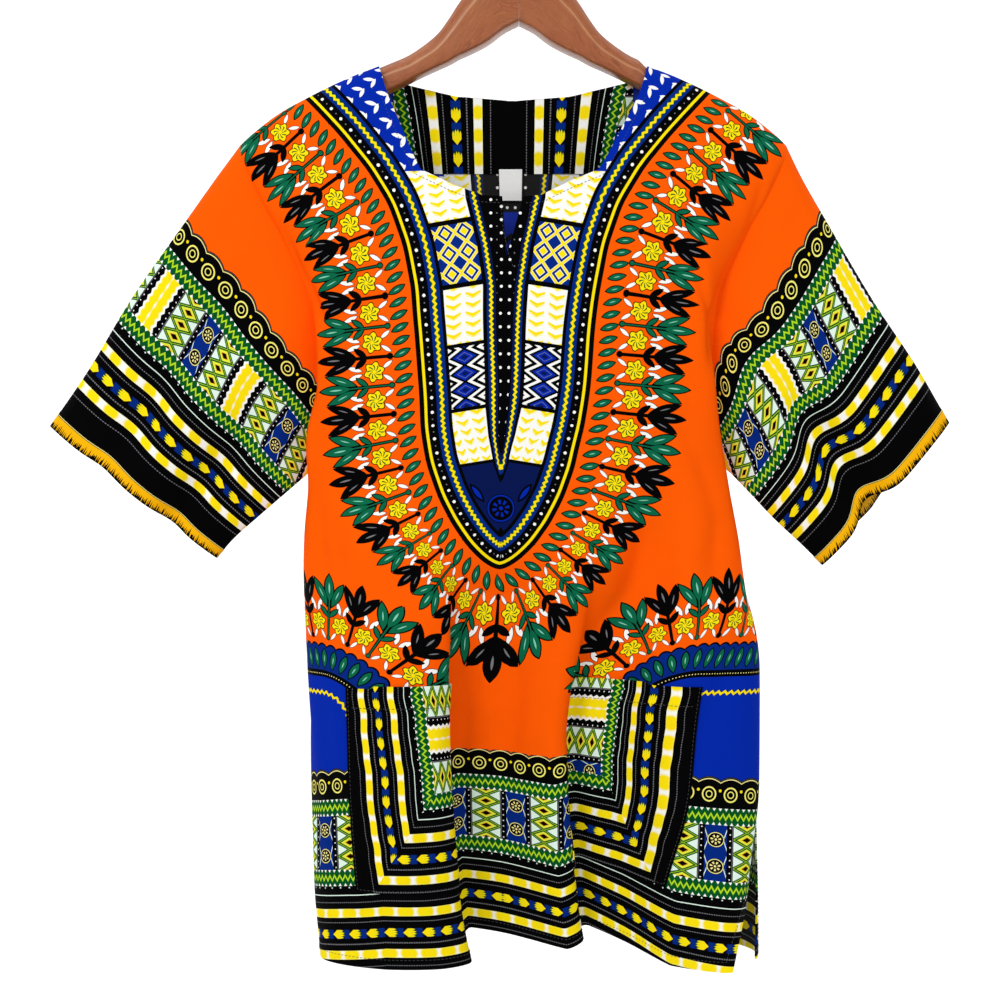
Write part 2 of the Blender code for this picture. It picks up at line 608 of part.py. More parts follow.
# ---------------------------------------------------------------- the hanger
def arm_section(arm, sign):
    """Corner points (out, up) round the arm, from the middle of its top."""
    cloth = ridge_up(sign * arm.x - HANG_SHIFT) - ARM_DROP - 0.04 * max(0, arm.x - 0.2)
    top = min(arm.top, cloth)
    half, facet = arm.half, arm.facet
    low = arm.bottom
    side = [
        (0.14 * half, top - 0.012 * facet), (0.42 * half, top - 0.16 * facet),
        (0.74 * half, top - 0.48 * facet), (0.94 * half, top - 0.85 * facet),
        (half, top - 1.15 * facet), (half, low + 0.0045), (0.88 * half, low + 0.0013),
        (0.6 * half, low),
    ]
    return side + [(-out, up) for out, up in reversed(side)]


def build_arm(side, wood, hole):
    sign = -1 if side == "left" else 1
    mesh = bmesh.new()
    rings = []
    for arm in ARM:
        corners = arm_section(arm, sign)
        rings.append(
            [mesh.verts.new(placed(sign * arm.x, out, up)) for out, up in corners]
        )
    count = len(rings[0])
    for a, b in zip(rings, rings[1:]):
        for k in range(count):
            j = (k + 1) % count
            mesh.faces.new([a[k], a[j], b[j], b[k]])
    mesh.faces.new(rings[0])
    mesh.faces.new(rings[-1])
    bmesh.ops.recalc_face_normals(mesh, faces=mesh.faces[:])
    made = add_object("hanger_arm_" + side, mesh, wood)
    cut = made.modifiers.new("shank hole", "BOOLEAN")
    cut.operation = "DIFFERENCE"
    cut.solver = "EXACT"
    cut.object = hole
    return made


def hook_route():
    """Centre line of the hook wire: shank, swan neck and bow, in (x, z)."""
    wood_top = HEM_Z + ARM[0].top
    centre_z = WIRE_RADIUS - HOOK_RADIUS
    route = [(0.0, wood_top - SHANK_DEPTH), (0.0, wood_top - 0.008), (0.0, wood_top + 0.003)]
    for degrees in range(-58, 216, 13):
        angle = math.radians(degrees)
        route.append((HOOK_RADIUS * math.cos(angle), centre_z + HOOK_RADIUS * math.sin(angle)))
    start, end = route[2], route[3]
    bend = [
        (start[0] + 0.12 * (end[0] - start[0]), start[1] + 0.42 * (end[1] - start[1])),
        (start[0] + 0.48 * (end[0] - start[0]), start[1] + 0.76 * (end[1] - start[1])),
    ]
    return route[:3] + bend + route[3:]


def build_hook(steel):
    data = bpy.data.curves.new("hanger_hook", "CURVE")
    data.dimensions = "3D"
    data.bevel_depth = WIRE_RADIUS
    data.bevel_resolution = 3
    data.use_fill_caps = True
    line = data.splines.new("POLY")
    route = hook_route()
    line.points.add(len(route) - 1)
    for point, (x, z) in zip(line.points, route):
        point.co = (x, 0.0, z, 1.0)
    data.materials.append(steel)
    made = bpy.data.objects.new("hanger_hook", data)
    bpy.context.scene.collection.objects.link(made)


def shank_hole():
    """Cutter for the hole that the hook's shank sits in."""
    mesh = bmesh.new()
    depth = SHANK_DEPTH + 0.0006
    bmesh.ops.create_cone(
        mesh, cap_ends=True, segments=20, depth=2 * depth,
        radius1=WIRE_RADIUS + SHANK_CLEARANCE, radius2=WIRE_RADIUS + SHANK_CLEARANCE,
    )
    bmesh.ops.translate(mesh, verts=mesh.verts[:], vec=Vector((0, 0, HEM_Z + ARM[0].top)))
    data = bpy.data.meshes.new("shank_hole")
    mesh.to_mesh(data)
    mesh.free()
    hole = bpy.data.objects.new("shank_hole", data)
    hole.hide_render = True
    hole.display_type = "WIRE"
    bpy.context.scene.collection.objects.link(hole)
    return hole


def main():
    for old in list(bpy.data.objects):
        bpy.data.objects.remove(old)
    build_garment(
        finish("printed_cotton", (0.86, 0.16, 0.01), 0.85),
        finish("label_satin", (0.85, 0.85, 0.83), 0.6),
    )
    wood = finish("cherry_wood", (0.24, 0.07, 0.025), 0.35)
    hole = shank_hole()
    build_arm("left", wood, hole)
    build_arm("right", wood, hole)
    build_hook(finish("steel_wire", (0.62, 0.62, 0.60), 0.25, 1.0))


main()
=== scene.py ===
import math

import bpy
import mathutils
import numpy as np
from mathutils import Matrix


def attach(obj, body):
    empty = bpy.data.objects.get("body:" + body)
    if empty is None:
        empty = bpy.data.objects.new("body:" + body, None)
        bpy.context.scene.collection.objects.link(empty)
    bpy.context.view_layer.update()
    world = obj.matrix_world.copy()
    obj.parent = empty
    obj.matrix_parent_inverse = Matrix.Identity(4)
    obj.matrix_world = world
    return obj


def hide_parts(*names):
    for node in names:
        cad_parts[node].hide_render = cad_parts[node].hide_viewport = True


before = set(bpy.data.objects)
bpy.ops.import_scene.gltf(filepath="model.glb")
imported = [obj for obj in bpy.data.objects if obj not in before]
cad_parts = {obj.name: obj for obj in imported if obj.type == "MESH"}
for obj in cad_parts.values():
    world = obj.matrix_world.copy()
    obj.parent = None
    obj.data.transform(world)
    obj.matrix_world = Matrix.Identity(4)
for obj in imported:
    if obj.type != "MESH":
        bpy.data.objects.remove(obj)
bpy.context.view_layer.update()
print("loaded the frame:", len(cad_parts), "nodes")

# The cloth is laid on the same curves as the frame's solids: heights are above the hem, and
# "out" is a distance towards whoever faces the front.
hemZ = -0.917
hangShift = -0.005
neckUp = 0.762
neckHalf = 0.117
underarmUp = 0.415
slitUp = 0.146
shoulderUp = 0.694
ridgeRoll = 0.045
panelHalf = 0.257
sectionPoints = 480
sectionStep = 0.0025
seamGap = 0.0003

# up, front corner x, out, front edge x, out, back edge x, out, rear corner x, out
leftSide = np.array([
    (0.000, 0.163, 0.048, 0.153, 0.020, 0.150, 0.008, 0.160, -0.018),
    (0.060, 0.169, 0.044, 0.165, 0.014, 0.164, 0.008, 0.167, -0.020),
    (0.146, 0.172, 0.040, 0.172, 0.006, 0.172, 0.006, 0.168, -0.026),
    (0.240, 0.174, 0.038, 0.176, 0.004, 0.176, 0.004, 0.167, -0.030),
    (0.330, 0.178, 0.034, 0.178, 0.001, 0.178, 0.001, 0.167, -0.032),
    (0.415, 0.177, 0.031, 0.172, -0.002, 0.172, -0.002, 0.165, -0.033),
    (0.480, 0.168, 0.035, 0.167, 0.010, 0.166, -0.016, 0.166, -0.035),
    (0.550, 0.165, 0.037, 0.175, 0.014, 0.175, -0.018, 0.167, -0.035),
    (0.610, 0.170, 0.033, 0.200, 0.014, 0.200, -0.018, 0.176, -0.031),
    (0.650, 0.185, 0.025, 0.222, 0.013, 0.222, -0.016, 0.188, -0.025),
    (0.694, 0.200, 0.019, 0.238, 0.012, 0.238, -0.014, 0.200, -0.019),
    (0.770, 0.200, 0.018, 0.238, 0.012, 0.238, -0.014, 0.200, -0.018),
])
rightSide = np.array([
    (0.000, 0.163, 0.077, 0.181, 0.079, 0.206, 0.038, 0.207, 0.004),
    (0.060, 0.186, 0.068, 0.197, 0.052, 0.208, 0.032, 0.206, -0.002),
    (0.146, 0.205, 0.046, 0.209, 0.016, 0.209, 0.016, 0.205, -0.014),
    (0.240, 0.206, 0.040, 0.210, 0.006, 0.210, 0.006, 0.199, -0.024),
    (0.330, 0.193, 0.036, 0.196, 0.003, 0.196, 0.003, 0.185, -0.030),
    (0.415, 0.183, 0.032, 0.178, -0.002, 0.178, -0.002, 0.171, -0.033),
    (0.480, 0.174, 0.035, 0.171, 0.010, 0.170, -0.016, 0.170, -0.035),
    (0.550, 0.166, 0.037, 0.176, 0.014, 0.176, -0.018, 0.168, -0.035),
    (0.610, 0.170, 0.033, 0.200, 0.014, 0.200, -0.018, 0.176, -0.031),
    (0.650, 0.185, 0.025, 0.222, 0.013, 0.222, -0.016, 0.188, -0.025),
    (0.694, 0.200, 0.019, 0.238, 0.012, 0.238, -0.014, 0.200, -0.019),
    (0.770, 0.200, 0.018, 0.238, 0.012, 0.238, -0.014, 0.200, -0.018),
])
# up, how far the middle of the front and of the back stands out
middleOut = np.array([
    (0.000, 0.050, -0.040), (0.150, 0.052, -0.043), (0.300, 0.056, -0.045), (0.450, 0.057, -0.044),
    (0.560, 0.051, -0.040), (0.640, 0.040, -0.030), (0.700, 0.027, -0.021), (0.770, 0.018, -0.018),
])
# Crests and hollows: across at the top, x half-way down, then x, out and rise at the hem, and
# the height where it begins.
frontFolds = {
    "left flank": (-0.86, -0.148, -0.150, 0.070, -0.002, 0.420),
    "left crest": (-0.62, -0.112, -0.106, 0.084, -0.004, 0.420),
    "left roll": (-0.45, -0.076, -0.058, 0.082, -0.004, 0.400),
    "left roll edge": (-0.35, -0.056, -0.036, 0.066, -0.003, 0.370),
    "left return": (-0.29, -0.063, -0.046, 0.044, 0.006, 0.370),
    "left hollow": (-0.21, -0.050, -0.038, 0.026, 0.016, 0.370),
    "middle": (-0.05, -0.012, -0.008, 0.021, 0.010, 0.370),
    "swell": (0.20, 0.032, 0.046, 0.044, 0.002, 0.350),
    "swell edge": (0.28, 0.044, 0.059, 0.036, 0.008, 0.350),
    "swell return": (0.34, 0.037, 0.051, 0.020, 0.012, 0.350),
    "right hollow": (0.42, 0.051, 0.064, 0.010, 0.014, 0.350),
    "right slope": (0.62, 0.092, 0.096, 0.027, 0.004, 0.420),
    "right rise": (0.84, 0.142, 0.132, 0.058, -0.008, 0.420),
}
backFolds = {
    "left flank": (-0.80, -0.130, -0.128, -0.052, 0.000, 0.400),
    "left dip": (-0.45, -0.080, -0.078, -0.022, 0.006, 0.380),
    "middle": (-0.02, -0.002, -0.006, -0.056, -0.004, 0.420),
    "right dip": (0.42, 0.076, 0.070, -0.024, 0.006, 0.360),
    "right flank": (0.80, 0.150, 0.150, -0.046, -0.008, 0.400),
}
shoulderRidge = np.array([
    (0.117, 0.7620), (0.138, 0.7540), (0.158, 0.7450), (0.179, 0.7345),
    (0.205, 0.7200), (0.226, 0.7040), (0.237, 0.6940), (0.260, 0.6640),
])
frontNeck = np.array([
    (-0.1172, 0.7620), (-0.1090, 0.7340), (-0.0820, 0.6700), (-0.0793, 0.6657), (-0.0500, 0.6513),
    (-0.0267, 0.6423), (-0.0098, 0.6415), (-0.0065, 0.5870), (0.0083, 0.6415), (0.0232, 0.6423),
    (0.0500, 0.6560), (0.0724, 0.6657), (0.0760, 0.6700), (0.1090, 0.7340), (0.1172, 0.7620),
])
backNeck = np.array([
    (-0.1172, 0.7620), (-0.1160, 0.7600), (-0.1145, 0.7575), (-0.1080, 0.7540), (-0.0930, 0.7505),
    (-0.0500, 0.7405), (0.0000, 0.7365), (0.0500, 0.7405), (0.0930, 0.7505), (0.1080, 0.7540),
    (0.1145, 0.7575), (0.1160, 0.7600), (0.1172, 0.7620),
])
frontNeckThreads = [
    (-0.1172, 0.7610), (-0.1166, 0.7598), (-0.1158, 0.7555), (-0.1142, 0.7480), (-0.1110, 0.7380),
    (-0.0793, 0.6657), (-0.0098, 0.6415), (-0.0065, 0.5870), (0.0083, 0.6415), (0.0724, 0.6657),
    (0.1110, 0.7380), (0.1142, 0.7480), (0.1158, 0.7555), (0.1166, 0.7598), (0.1172, 0.7610),
]
backNeckThreads = [tuple(p) for p in (*backNeck[:4], *backNeck[9:])]


def smooth(t):
    t = np.clip(t, 0.0, 1.0)
    return t * t * (3 - 2 * t)


# Rows of a table at given values of its first column, on a curve with no overshoot
def tableAt(table, at):
    keys = table[:, 0]
    at = np.clip(np.atleast_1d(at), keys[0], keys[-1])
    i = np.clip(np.searchsorted(keys, at, side="right") - 1, 0, len(keys) - 2)
    span = np.diff(keys)[:, None]
    steps = np.diff(table, axis=0) / span
    slopes = np.zeros_like(table)
    slopes[0], slopes[-1] = steps[0], steps[-1]
    before, after = steps[:-1], steps[1:]
    product = before * after
    total = np.where(product > 0, before + after, 1.0)
    slopes[1:-1] = np.where(product > 0, 2 * product / total, 0.0)
    t = ((at - keys[i]) / span[i, 0])[:, None]
    a, b = table[i], table[i + 1]
    sa, sb = slopes[i] * span[i], slopes[i + 1] * span[i]
    return (
        a * (1 + 2 * t) * (1 - t) ** 2 + b * t * t * (3 - 2 * t)
        + sa * t * (1 - t) ** 2 - sb * t * t * (1 - t)
    )


# How far along a line of points each of them is
def lengthAlong(points):
    return np.concatenate([[0], np.cumsum(np.linalg.norm(np.diff(points, axis=0), axis=1))])


def unit(v):
    return v / np.linalg.norm(v, axis=-1, keepdims=True)


# Columns of numbers given at some lengths, as they are at other lengths
def sampled(at, lengths, columns):
    return np.stack([np.interp(at, lengths, column) for column in columns.T], -1)


# An object of the scene round a mesh, a camera or a light
def added(name, data):
    made = bpy.data.objects.new(name, data)
    bpy.context.scene.collection.objects.link(made)
    return made


# A smooth curve through points, with its knots; "before" and "after" give its end directions
def curveThrough(points, before, after, count):
    p = np.array([before, *points, after], float)
    knots = np.concatenate([[0], np.cumsum(np.linalg.norm(np.diff(p, axis=0), axis=1) ** 0.5)])
    at = np.linspace(knots[1], knots[-2], count)
    i = np.clip(np.searchsorted(knots, at, side="right") - 1, 1, len(p) - 3)
    k0, k1, k2, k3 = (knots[i + j] for j in (-1, 0, 1, 2))
    p0, p1, p2, p3 = (p[i + j] for j in (-1, 0, 1, 2))

    def between(a, b, ka, kb):
        w = ((at - ka) / (kb - ka))[:, None]
        return a * (1 - w) + b * w

    a1, a2, a3 = between(p0, p1, k0, k1), between(p1, p2, k1, k2), between(p2, p3, k2, k3)
    b1, b2 = between(a1, a2, k0, k2), between(a2, a3, k1, k3)
    return between(b1, b2, k1, k2), at, knots[1:-1]


# Where each crest and hollow stands at one height, and how far the cloth rises there
def foldPoints(folds, up, leftCorner, rightCorner, middle):
    points, rises = [], []
    for across, midX, hemX, hemOut, hemRise, top in folds.values():
        x = (rightCorner[0] - leftCorner[0]) / 2 + across * (rightCorner[0] + leftCorner[0]) / 2
        t = max(0.0, 1 - up / top)
        x += (midX - x) * smooth(t / 0.5)
        sideOut = leftCorner[1] if across < 0 else rightCorner[1]
        out = sideOut + (middle - sideOut) * (1 - abs(across) ** 2.4)
        share = (1 - (1 - t) ** 3) * smooth(t / 0.2)
        points.append((x + (hemX - x) * t**4, out + (hemOut - out) * share))
        rises.append(hemRise * share * smooth(1 - up / 0.30))
    return points, rises


# One level section of the front or back: a curve from side seam to side seam
def bodySection(panel, up):
    left, right = tableAt(leftSide, up)[0], tableAt(rightSide, up)[0]
    middle = tableAt(middleOut, up)[0]
    front, frontRise = foldPoints(frontFolds, up, left[1:3], right[1:3], middle[1])
    back, backRise = foldPoints(backFolds, up, left[7:9], right[7:9], middle[2])
    front = [(-left[3], left[4]), (-left[1], left[2]), *front, tuple(right[1:3]), tuple(right[3:5])]
    back = [(-left[5], left[6]), (-left[7], left[8]), *back, tuple(right[7:9]), tuple(right[5:7])]
    mine, other, rises, folds = front, back, frontRise, frontFolds
    if panel == "back":
        mine, other, rises, folds = back, front, backRise, backFolds
    curve, at, knots = curveThrough(mine, other[1], other[-2], sectionPoints)
    rise = np.interp(at, knots, [rises[0], rises[0], *rises, rises[-1], rises[-1]])
    length = lengthAlong(curve)
    centre = np.interp(knots[2 + list(folds).index("middle")], at, length)
    share = np.where(length < centre, length / centre - 1, (length - centre) / (length[-1] - centre))
    return share, curve, rise, centre, length[-1] - centre


sectionHeights = np.arange(0, 0.7726, sectionStep)
sectionShares = np.linspace(-1, 1, 601)


def panelSections(panel):
    rows, halves = [], []
    for up in sectionHeights:
        share, curve, rise, left, right = bodySection(panel, up)
        rows.append([np.interp(sectionShares, share, q) for q in (curve[:, 0], curve[:, 1], rise)])
        halves.append((left, right))
    return np.array(rows).transpose(0, 2, 1), np.array(halves)


sections = {panel: panelSections(panel) for panel in ("front", "back")}


# Arrays of threads (share, from -1 at one side seam to 1 at the other) and heights go in;
# places as x, out and up, and how far along the cloth each is from its middle thread, come out.
ridgeX = np.arange(0.117, 0.2601, 0.0005)
ridgeHeights = tableAt(shoulderRidge, ridgeX)[:, 1]


def ridgeAt(x):
    x = np.abs(x)
    return np.where(x < neckHalf, neckUp + neckHalf - x, np.interp(x, ridgeX, ridgeHeights))


def bodyAt(panel, share, up):
    table, halves = sections[panel]
    share, up = np.broadcast_arrays(np.asarray(share, float), np.asarray(up, float))
    row = np.clip(up / sectionStep, 0, len(table) - 1.001)
    column = np.clip((share + 1) * 300, 0, 599.999)
    i, j = row.astype(int), column.astype(int)
    f, g = (row - i)[..., None], (column - j)[..., None]
    near = table[i, j] * (1 - g) + table[i, j + 1] * g
    far = table[i + 1, j] * (1 - g) + table[i + 1, j + 1] * g
    x, out, rise = np.moveaxis(near * (1 - f) + far * f, -1, 0)
    below = np.clip((ridgeAt(x) - up) / ridgeRoll, 0, 1)
    out = out * np.sqrt(1 - (1 - below) ** 2.6)
    side = (share > 0).astype(int)
    half = halves[i, side] * (1 - f[..., 0]) + halves[i + 1, side] * f[..., 0]
    return np.stack([x, out, up + rise], -1), share * half


# How high each thread reaches, found by halving
def topAt(panel, share):
    neck = frontNeck if panel == "front" else backNeck
    low, high = np.full(share.shape, 0.55), np.full(share.shape, 0.77)
    for _ in range(30):
        up = (low + high) / 2
        x = bodyAt(panel, share, up)[0][..., 0]
        edge = np.where(np.abs(x) < neckHalf, np.interp(x, neck[:, 0], neck[:, 1]), ridgeAt(x))
        under = up < edge
        low, high = np.where(under, up, low), np.where(under, high, up)
    return np.where(np.abs(share) > 0.999, np.minimum(low, shoulderUp), low)


# The thread that passes through a place, found by halving
def threadAt(panel, x, up):
    x, up = np.broadcast_arrays(np.asarray(x, float), np.asarray(up, float))
    low, high = np.full(x.shape, -1.0), np.full(x.shape, 1.0)
    for _ in range(40):
        share = (low + high) / 2
        under = bodyAt(panel, share, up)[0][..., 0] < x
        low, high = np.where(under, share, low), np.where(under, high, share)
    return low


# Places as x, out and up, in the frame's own axes
def inRoom(p):
    return np.stack([hangShift + p[..., 0], -p[..., 1], hemZ + p[..., 2]], -1)


# Even threads across a panel, with the neck's own threads in place of those next to them
def threadsFor(count, keys):
    trim = seamGap / 2 / panelHalf
    even = np.linspace(trim - 1, 1 - trim, count)
    keys = np.array(keys)
    kept = even[np.abs(even[:, None] - keys[None, :]).min(1) > 0.8 / count]
    return np.sort(np.concatenate([kept, keys]))


turnings = {"cloth": 0.00035, "more": 0.00040, "hem": 0.0095, "neck": 0.0070, "cuff": 0.0125}

# Soft creases pressed into the body: panel, where one starts and ends (mm from the middle
# thread, mm above the hem), depth and half width in mm. A negative depth stands out.
bodyCreases = [
    ("front", -215, 520, -150, 250, 3.0, 16), ("front", -178, 470, -118, 300, -2.4, 14),
    ("front", -150, 700, -128, 520, 1.6, 11), ("front", 178, 700, 150, 500, 1.8, 12),
    ("front", 205, 560, 176, 300, 3.2, 15), ("front", 160, 430, 150, 190, -2.6, 15),
    ("front", 226, 420, 216, 160, 2.4, 13), ("front", 92, 260, 104, 40, 1.6, 10),
    ("front", -62, 330, -44, 180, 1.5, 10), ("front", 30, 330, 22, 130, -1.6, 12),
    ("front", -235, 300, -222, 90, 2.2, 12), ("front", -120, 640, -80, 420, 0.9, 16),
    ("front", 110, 640, 92, 430, 0.9, 16),
    ("front", -177, 545, -162, 330, 1.5, 6), ("front", -150, 470, -139, 290, 1.3, 6),
    ("front", -118, 372, -100, 250, 1.3, 6), ("front", 156, 450, 184, 320, 2.2, 8),
    ("front", 119, 375, 90, 262, 1.8, 8), ("front", 222, 470, 232, 320, 1.8, 7),
    ("front", -31, 235, -30, 120, 1.3, 7), ("front", 12, 245, 14, 150, 0.9, 6),
    ("front", -146, 236, -140, 70, 1.3, 6), ("front", -112, 236, -104, 60, 1.4, 7),
    ("front", -86, 220, -82, 30, 1.0, 5), ("front", -190, 200, -184, 20, 1.3, 8),
    ("front", 128, 240, 140, 60, 1.3, 7), ("front", 170, 236, 176, 80, 1.2, 7),
    ("front", -198, 132, -120, 118, 0.9, 6), ("front", -205, 44, -130, 52, 0.9, 6),
    ("front", 205, 108, 262, 120, 1.0, 6), ("front", -60, 560, -52, 470, 0.8, 7),
    ("front", 70, 560, 60, 480, 0.8, 7), ("front", -216, 632, -150, 512, 5.0, 6.5),
    ("front", -194, 605, -174, 490, 3.6, 5.5), ("front", 168, 590, 178, 500, 3.6, 5.5),
    ("front", 226, 645, 184, 518, 5.0, 6.5),
    ("back", -150, 640, -110, 260, 2.6, 16), ("back", -60, 660, -30, 300, -1.8, 18),
    ("back", 40, 650, 70, 240, 2.2, 17), ("back", 130, 620, 150, 200, 2.8, 15),
    ("back", -190, 420, -170, 60, 2.2, 14), ("back", 190, 460, 180, 120, -2.0, 14),
    ("back", -168, 560, -150, 330, 1.5, 7), ("back", -128, 470, -120, 300, 1.2, 6),
    ("back", -86, 380, -74, 180, 1.3, 7), ("back", 20, 430, 30, 200, 1.1, 7),
    ("back", 98, 470, 112, 300, 1.4, 7), ("back", 160, 560, 176, 360, 1.6, 7),
    ("back", -30, 200, -34, 20, 1.2, 8), ("back", 70, 210, 66, 30, 1.2, 8),
    ("back", 205, 300, 200, 100, 1.4, 8), ("back", -150, 180, -146, 20, 1.2, 7),
]


# How far the body creases move the cloth outwards, in mm
def creaseDepth(panel, share, s, up):
    depth = np.zeros(np.shape(s))
    x, y = s * 1000, up * 1000
    for where, x0, y0, x1, y1, deep, width in bodyCreases:
        if where != panel:
            continue
        run = np.array([x1 - x0, y1 - y0], float)
        length = np.hypot(*run)
        along = ((x - x0) * run[0] + (y - y0) * run[1]) / length**2
        bend = 5 * np.sin(along * 5 + x0)
        off = ((x - x0) * run[1] - (y - y0) * run[0]) / length + bend
        ends = smooth((along + 0.25) / 0.5) * smooth((1.25 - along) / 0.5)
        depth -= deep * np.exp(-((off / width) ** 2)) * ends
    # low waves over the whole cloth
    waves = np.random.default_rng(11)
    for _ in range(9):
        ax, ay = waves.uniform(0.045, 0.12), waves.uniform(-0.035, 0.035)
        depth += 0.10 * np.sin(ax * x + ay * y + waves.uniform(0, 6.3))
    return depth * smooth((1 - np.abs(share)) / 0.05)


def normalsOf(points, around=False):
    if around:
        across = np.roll(points, -1, axis=1) - np.roll(points, 1, axis=1)
    else:
        across = np.gradient(points, axis=1)
    n = np.cross(across, np.gradient(points, axis=0))
    return n / np.maximum(np.linalg.norm(n, axis=2, keepdims=True), 1e-12)


# Half the thickness of the cloth: it is turned twice along the hem, the slits and the neck
def bodyHalf(panel, share, up):
    edge = np.where(up < slitUp + 0.004, np.minimum(panelHalf * (1 - np.abs(share)), up), 1.0)
    x = bodyAt(panel, share, up)[0][..., 0]
    fromNeck = np.where(np.abs(x) < neckHalf, topAt(panel, share) - up, 1.0)
    turned = smooth((turnings["hem"] + 0.0015 - edge) / 0.0015)
    turned = np.maximum(turned, 0.6 * smooth((turnings["neck"] + 0.0015 - fromNeck) / 0.0015))
    return turnings["cloth"] + turnings["more"] * turned


# A shell round a grid of middle points, with a printed face, a reverse face and rims. "out" is
# the way to the printed side, "maps" holds UV maps by name, "slots" the print of each square,
# and in "materials" the reverse ones follow the printed ones.
def clothPiece(name, middle, out, maps, slots, materials, half=0.00035, around=False):
    rows, columns = middle.shape[:2]
    half = np.broadcast_to(half, (rows, columns))[..., None]
    points = np.concatenate([(middle + out * half).reshape(-1, 3), (middle - out * half).reshape(-1, 3)])
    number = np.arange(rows * columns).reshape(rows, columns)
    last = columns if around else columns - 1
    r, c = np.meshgrid(np.arange(rows - 1), np.arange(last), indexing="ij")
    d = (c + 1) % columns
    quads = np.stack([number[r, c], number[r + 1, c], number[r + 1, d], number[r, d]], -1).reshape(-1, 4)
    lean = np.cross(
        middle[r + 1, c].reshape(-1, 3) - middle[r, d].reshape(-1, 3),
        middle[r + 1, d].reshape(-1, 3) - middle[r, c].reshape(-1, 3),
    )
    if (lean * out[r, c].reshape(-1, 3)).sum() < 0:
        quads = quads[:, ::-1]
        turned = True
    else:
        turned = False
    inner = quads[:, ::-1] + rows * columns
    rims = [((0, a), (0, (a + 1) % columns)) for a in range(last)]
    rims += [((rows - 1, (a + 1) % columns), (rows - 1, a)) for a in range(last)]
    if not around:
        rims += [((a + 1, 0), (a, 0)) for a in range(rows - 1)]
        rims += [((a, columns - 1), (a + 1, columns - 1)) for a in range(rows - 1)]
    rimFaces = []
    rimSlots = []
    slots = np.asarray(slots).reshape(rows - 1, -1)
    for (ra, ca), (rb, cb) in rims:
        a, b = number[ra, ca], number[rb, cb]
        face = [a, b, b + rows * columns, a + rows * columns]
        rimFaces.append(face[::-1] if turned else face)
        fr, fc = min(ra, rb, rows - 2), min(ca, cb, slots.shape[1] - 1)
        if around and abs(ca - cb) > 1:
            fc = columns - 1
        rimSlots.append(slots[fr, fc])
    faces = np.concatenate([quads, inner, np.array(rimFaces)])
    mesh = bpy.data.meshes.new(name)
    mesh.vertices.add(len(points))
    mesh.vertices.foreach_set("co", points.ravel())
    mesh.loops.add(faces.size)
    mesh.loops.foreach_set("vertex_index", faces.ravel())
    mesh.polygons.add(len(faces))
    mesh.polygons.foreach_set("loop_start", np.arange(0, faces.size, 4))
    flat = slots.ravel()
    count = len(materials) // 2
    mesh.polygons.foreach_set(
        "material_index", np.concatenate([flat, flat + count, np.array(rimSlots)]).astype(np.int32)
    )
    for mapName, values in maps.items():
        layer = mesh.uv_layers.new(name=mapName)
        both = np.concatenate([values.reshape(-1, 2)] * 2)
        layer.uv.foreach_set("vector", both[faces.ravel()].astype(np.float32).ravel())
    for material in materials:
        mesh.materials.append(material)
    mesh.update(calc_edges=True)
    mesh.validate()
    mesh.shade_smooth()
    mesh.set_sharp_from_angle(angle=math.radians(50))
    made = added(name, mesh)
    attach(made, "root")
    return made


# Works out the size a cloth was cut to, without its turnings, from its flat map in m, and then keeps
# nothing of it: the piece is not declared anywhere
def declareSheet(made, flat, restsOn, stitches=(), around=None):
    s, t = flat[..., 0], flat[..., 1]
    if around is None:
        a, b = flat[1:, 1:] - flat[:-1, :-1], flat[1:, :-1] - flat[:-1, 1:]
        area = np.abs(a[..., 0] * b[..., 1] - a[..., 1] * b[..., 0]).sum() / 2
        width = (s.max(1) - s.min(1)).max()
    else:
        run = np.abs(np.diff(t.mean(1)))
        area = (run * (around[1:] + around[:-1]) / 2).sum()
        width = around.max()
    length = t.max() - t.min()
    area = min(area, width * length)


# One value, colour or vector of a material, which can be written into sums and comparisons.
class Amount:
    def __init__(self, paint, socket):
        self.paint = paint
        self.socket = socket

    def sum(self, operation, *values):
        return self.paint.math(operation, *values)

    def __add__(self, other):
        return self.sum("ADD", self, other)

    def __sub__(self, other):
        return self.sum("SUBTRACT", self, other)

    def __rsub__(self, other):
        return self.sum("SUBTRACT", other, self)

    def __mul__(self, other):
        return self.sum("MULTIPLY", self, other)

    def __truediv__(self, other):
        return self.sum("DIVIDE", self, other)

    def __lt__(self, other):
        return self.sum("LESS_THAN", self, other)

    def __gt__(self, other):
        return self.sum("GREATER_THAN", self, other)

    def __and__(self, other):
        return self.sum("MULTIPLY", self, other)

    def __or__(self, other):
        return self.sum("MAXIMUM", self, other)

    def __abs__(self):
        return self.sum("ABSOLUTE", self)

    __radd__ = __add__
    __rmul__ = __mul__


dyes = {
    "orange": (255, 92, 2), "black": (2, 2, 3), "royal": (2, 40, 166), "blue": (4, 40, 126),
    "navy": (6, 22, 78), "yellow": (252, 226, 14), "pale": (248, 240, 120), "lime": (176, 218, 36),
    "citron": (226, 232, 66), "milk": (226, 246, 232), "green": (4, 82, 32), "teal": (10, 102, 70),
    "mint": (130, 205, 180), "white": (250, 250, 245), "cream": (246, 234, 150), "gold": (250, 182, 10),
    "brown": (58, 26, 8), "rust": (120, 40, 10), "ash": (120, 120, 124), "reverse": (150, 150, 150),
}


def dye(colour):
    if not isinstance(colour, str):
        return colour
    shares = [c / 255 for c in dyes[colour]]
    return (*(c / 12.92 if c <= 0.04045 else ((c + 0.055) / 1.055) ** 2.4 for c in shares), 1.0)


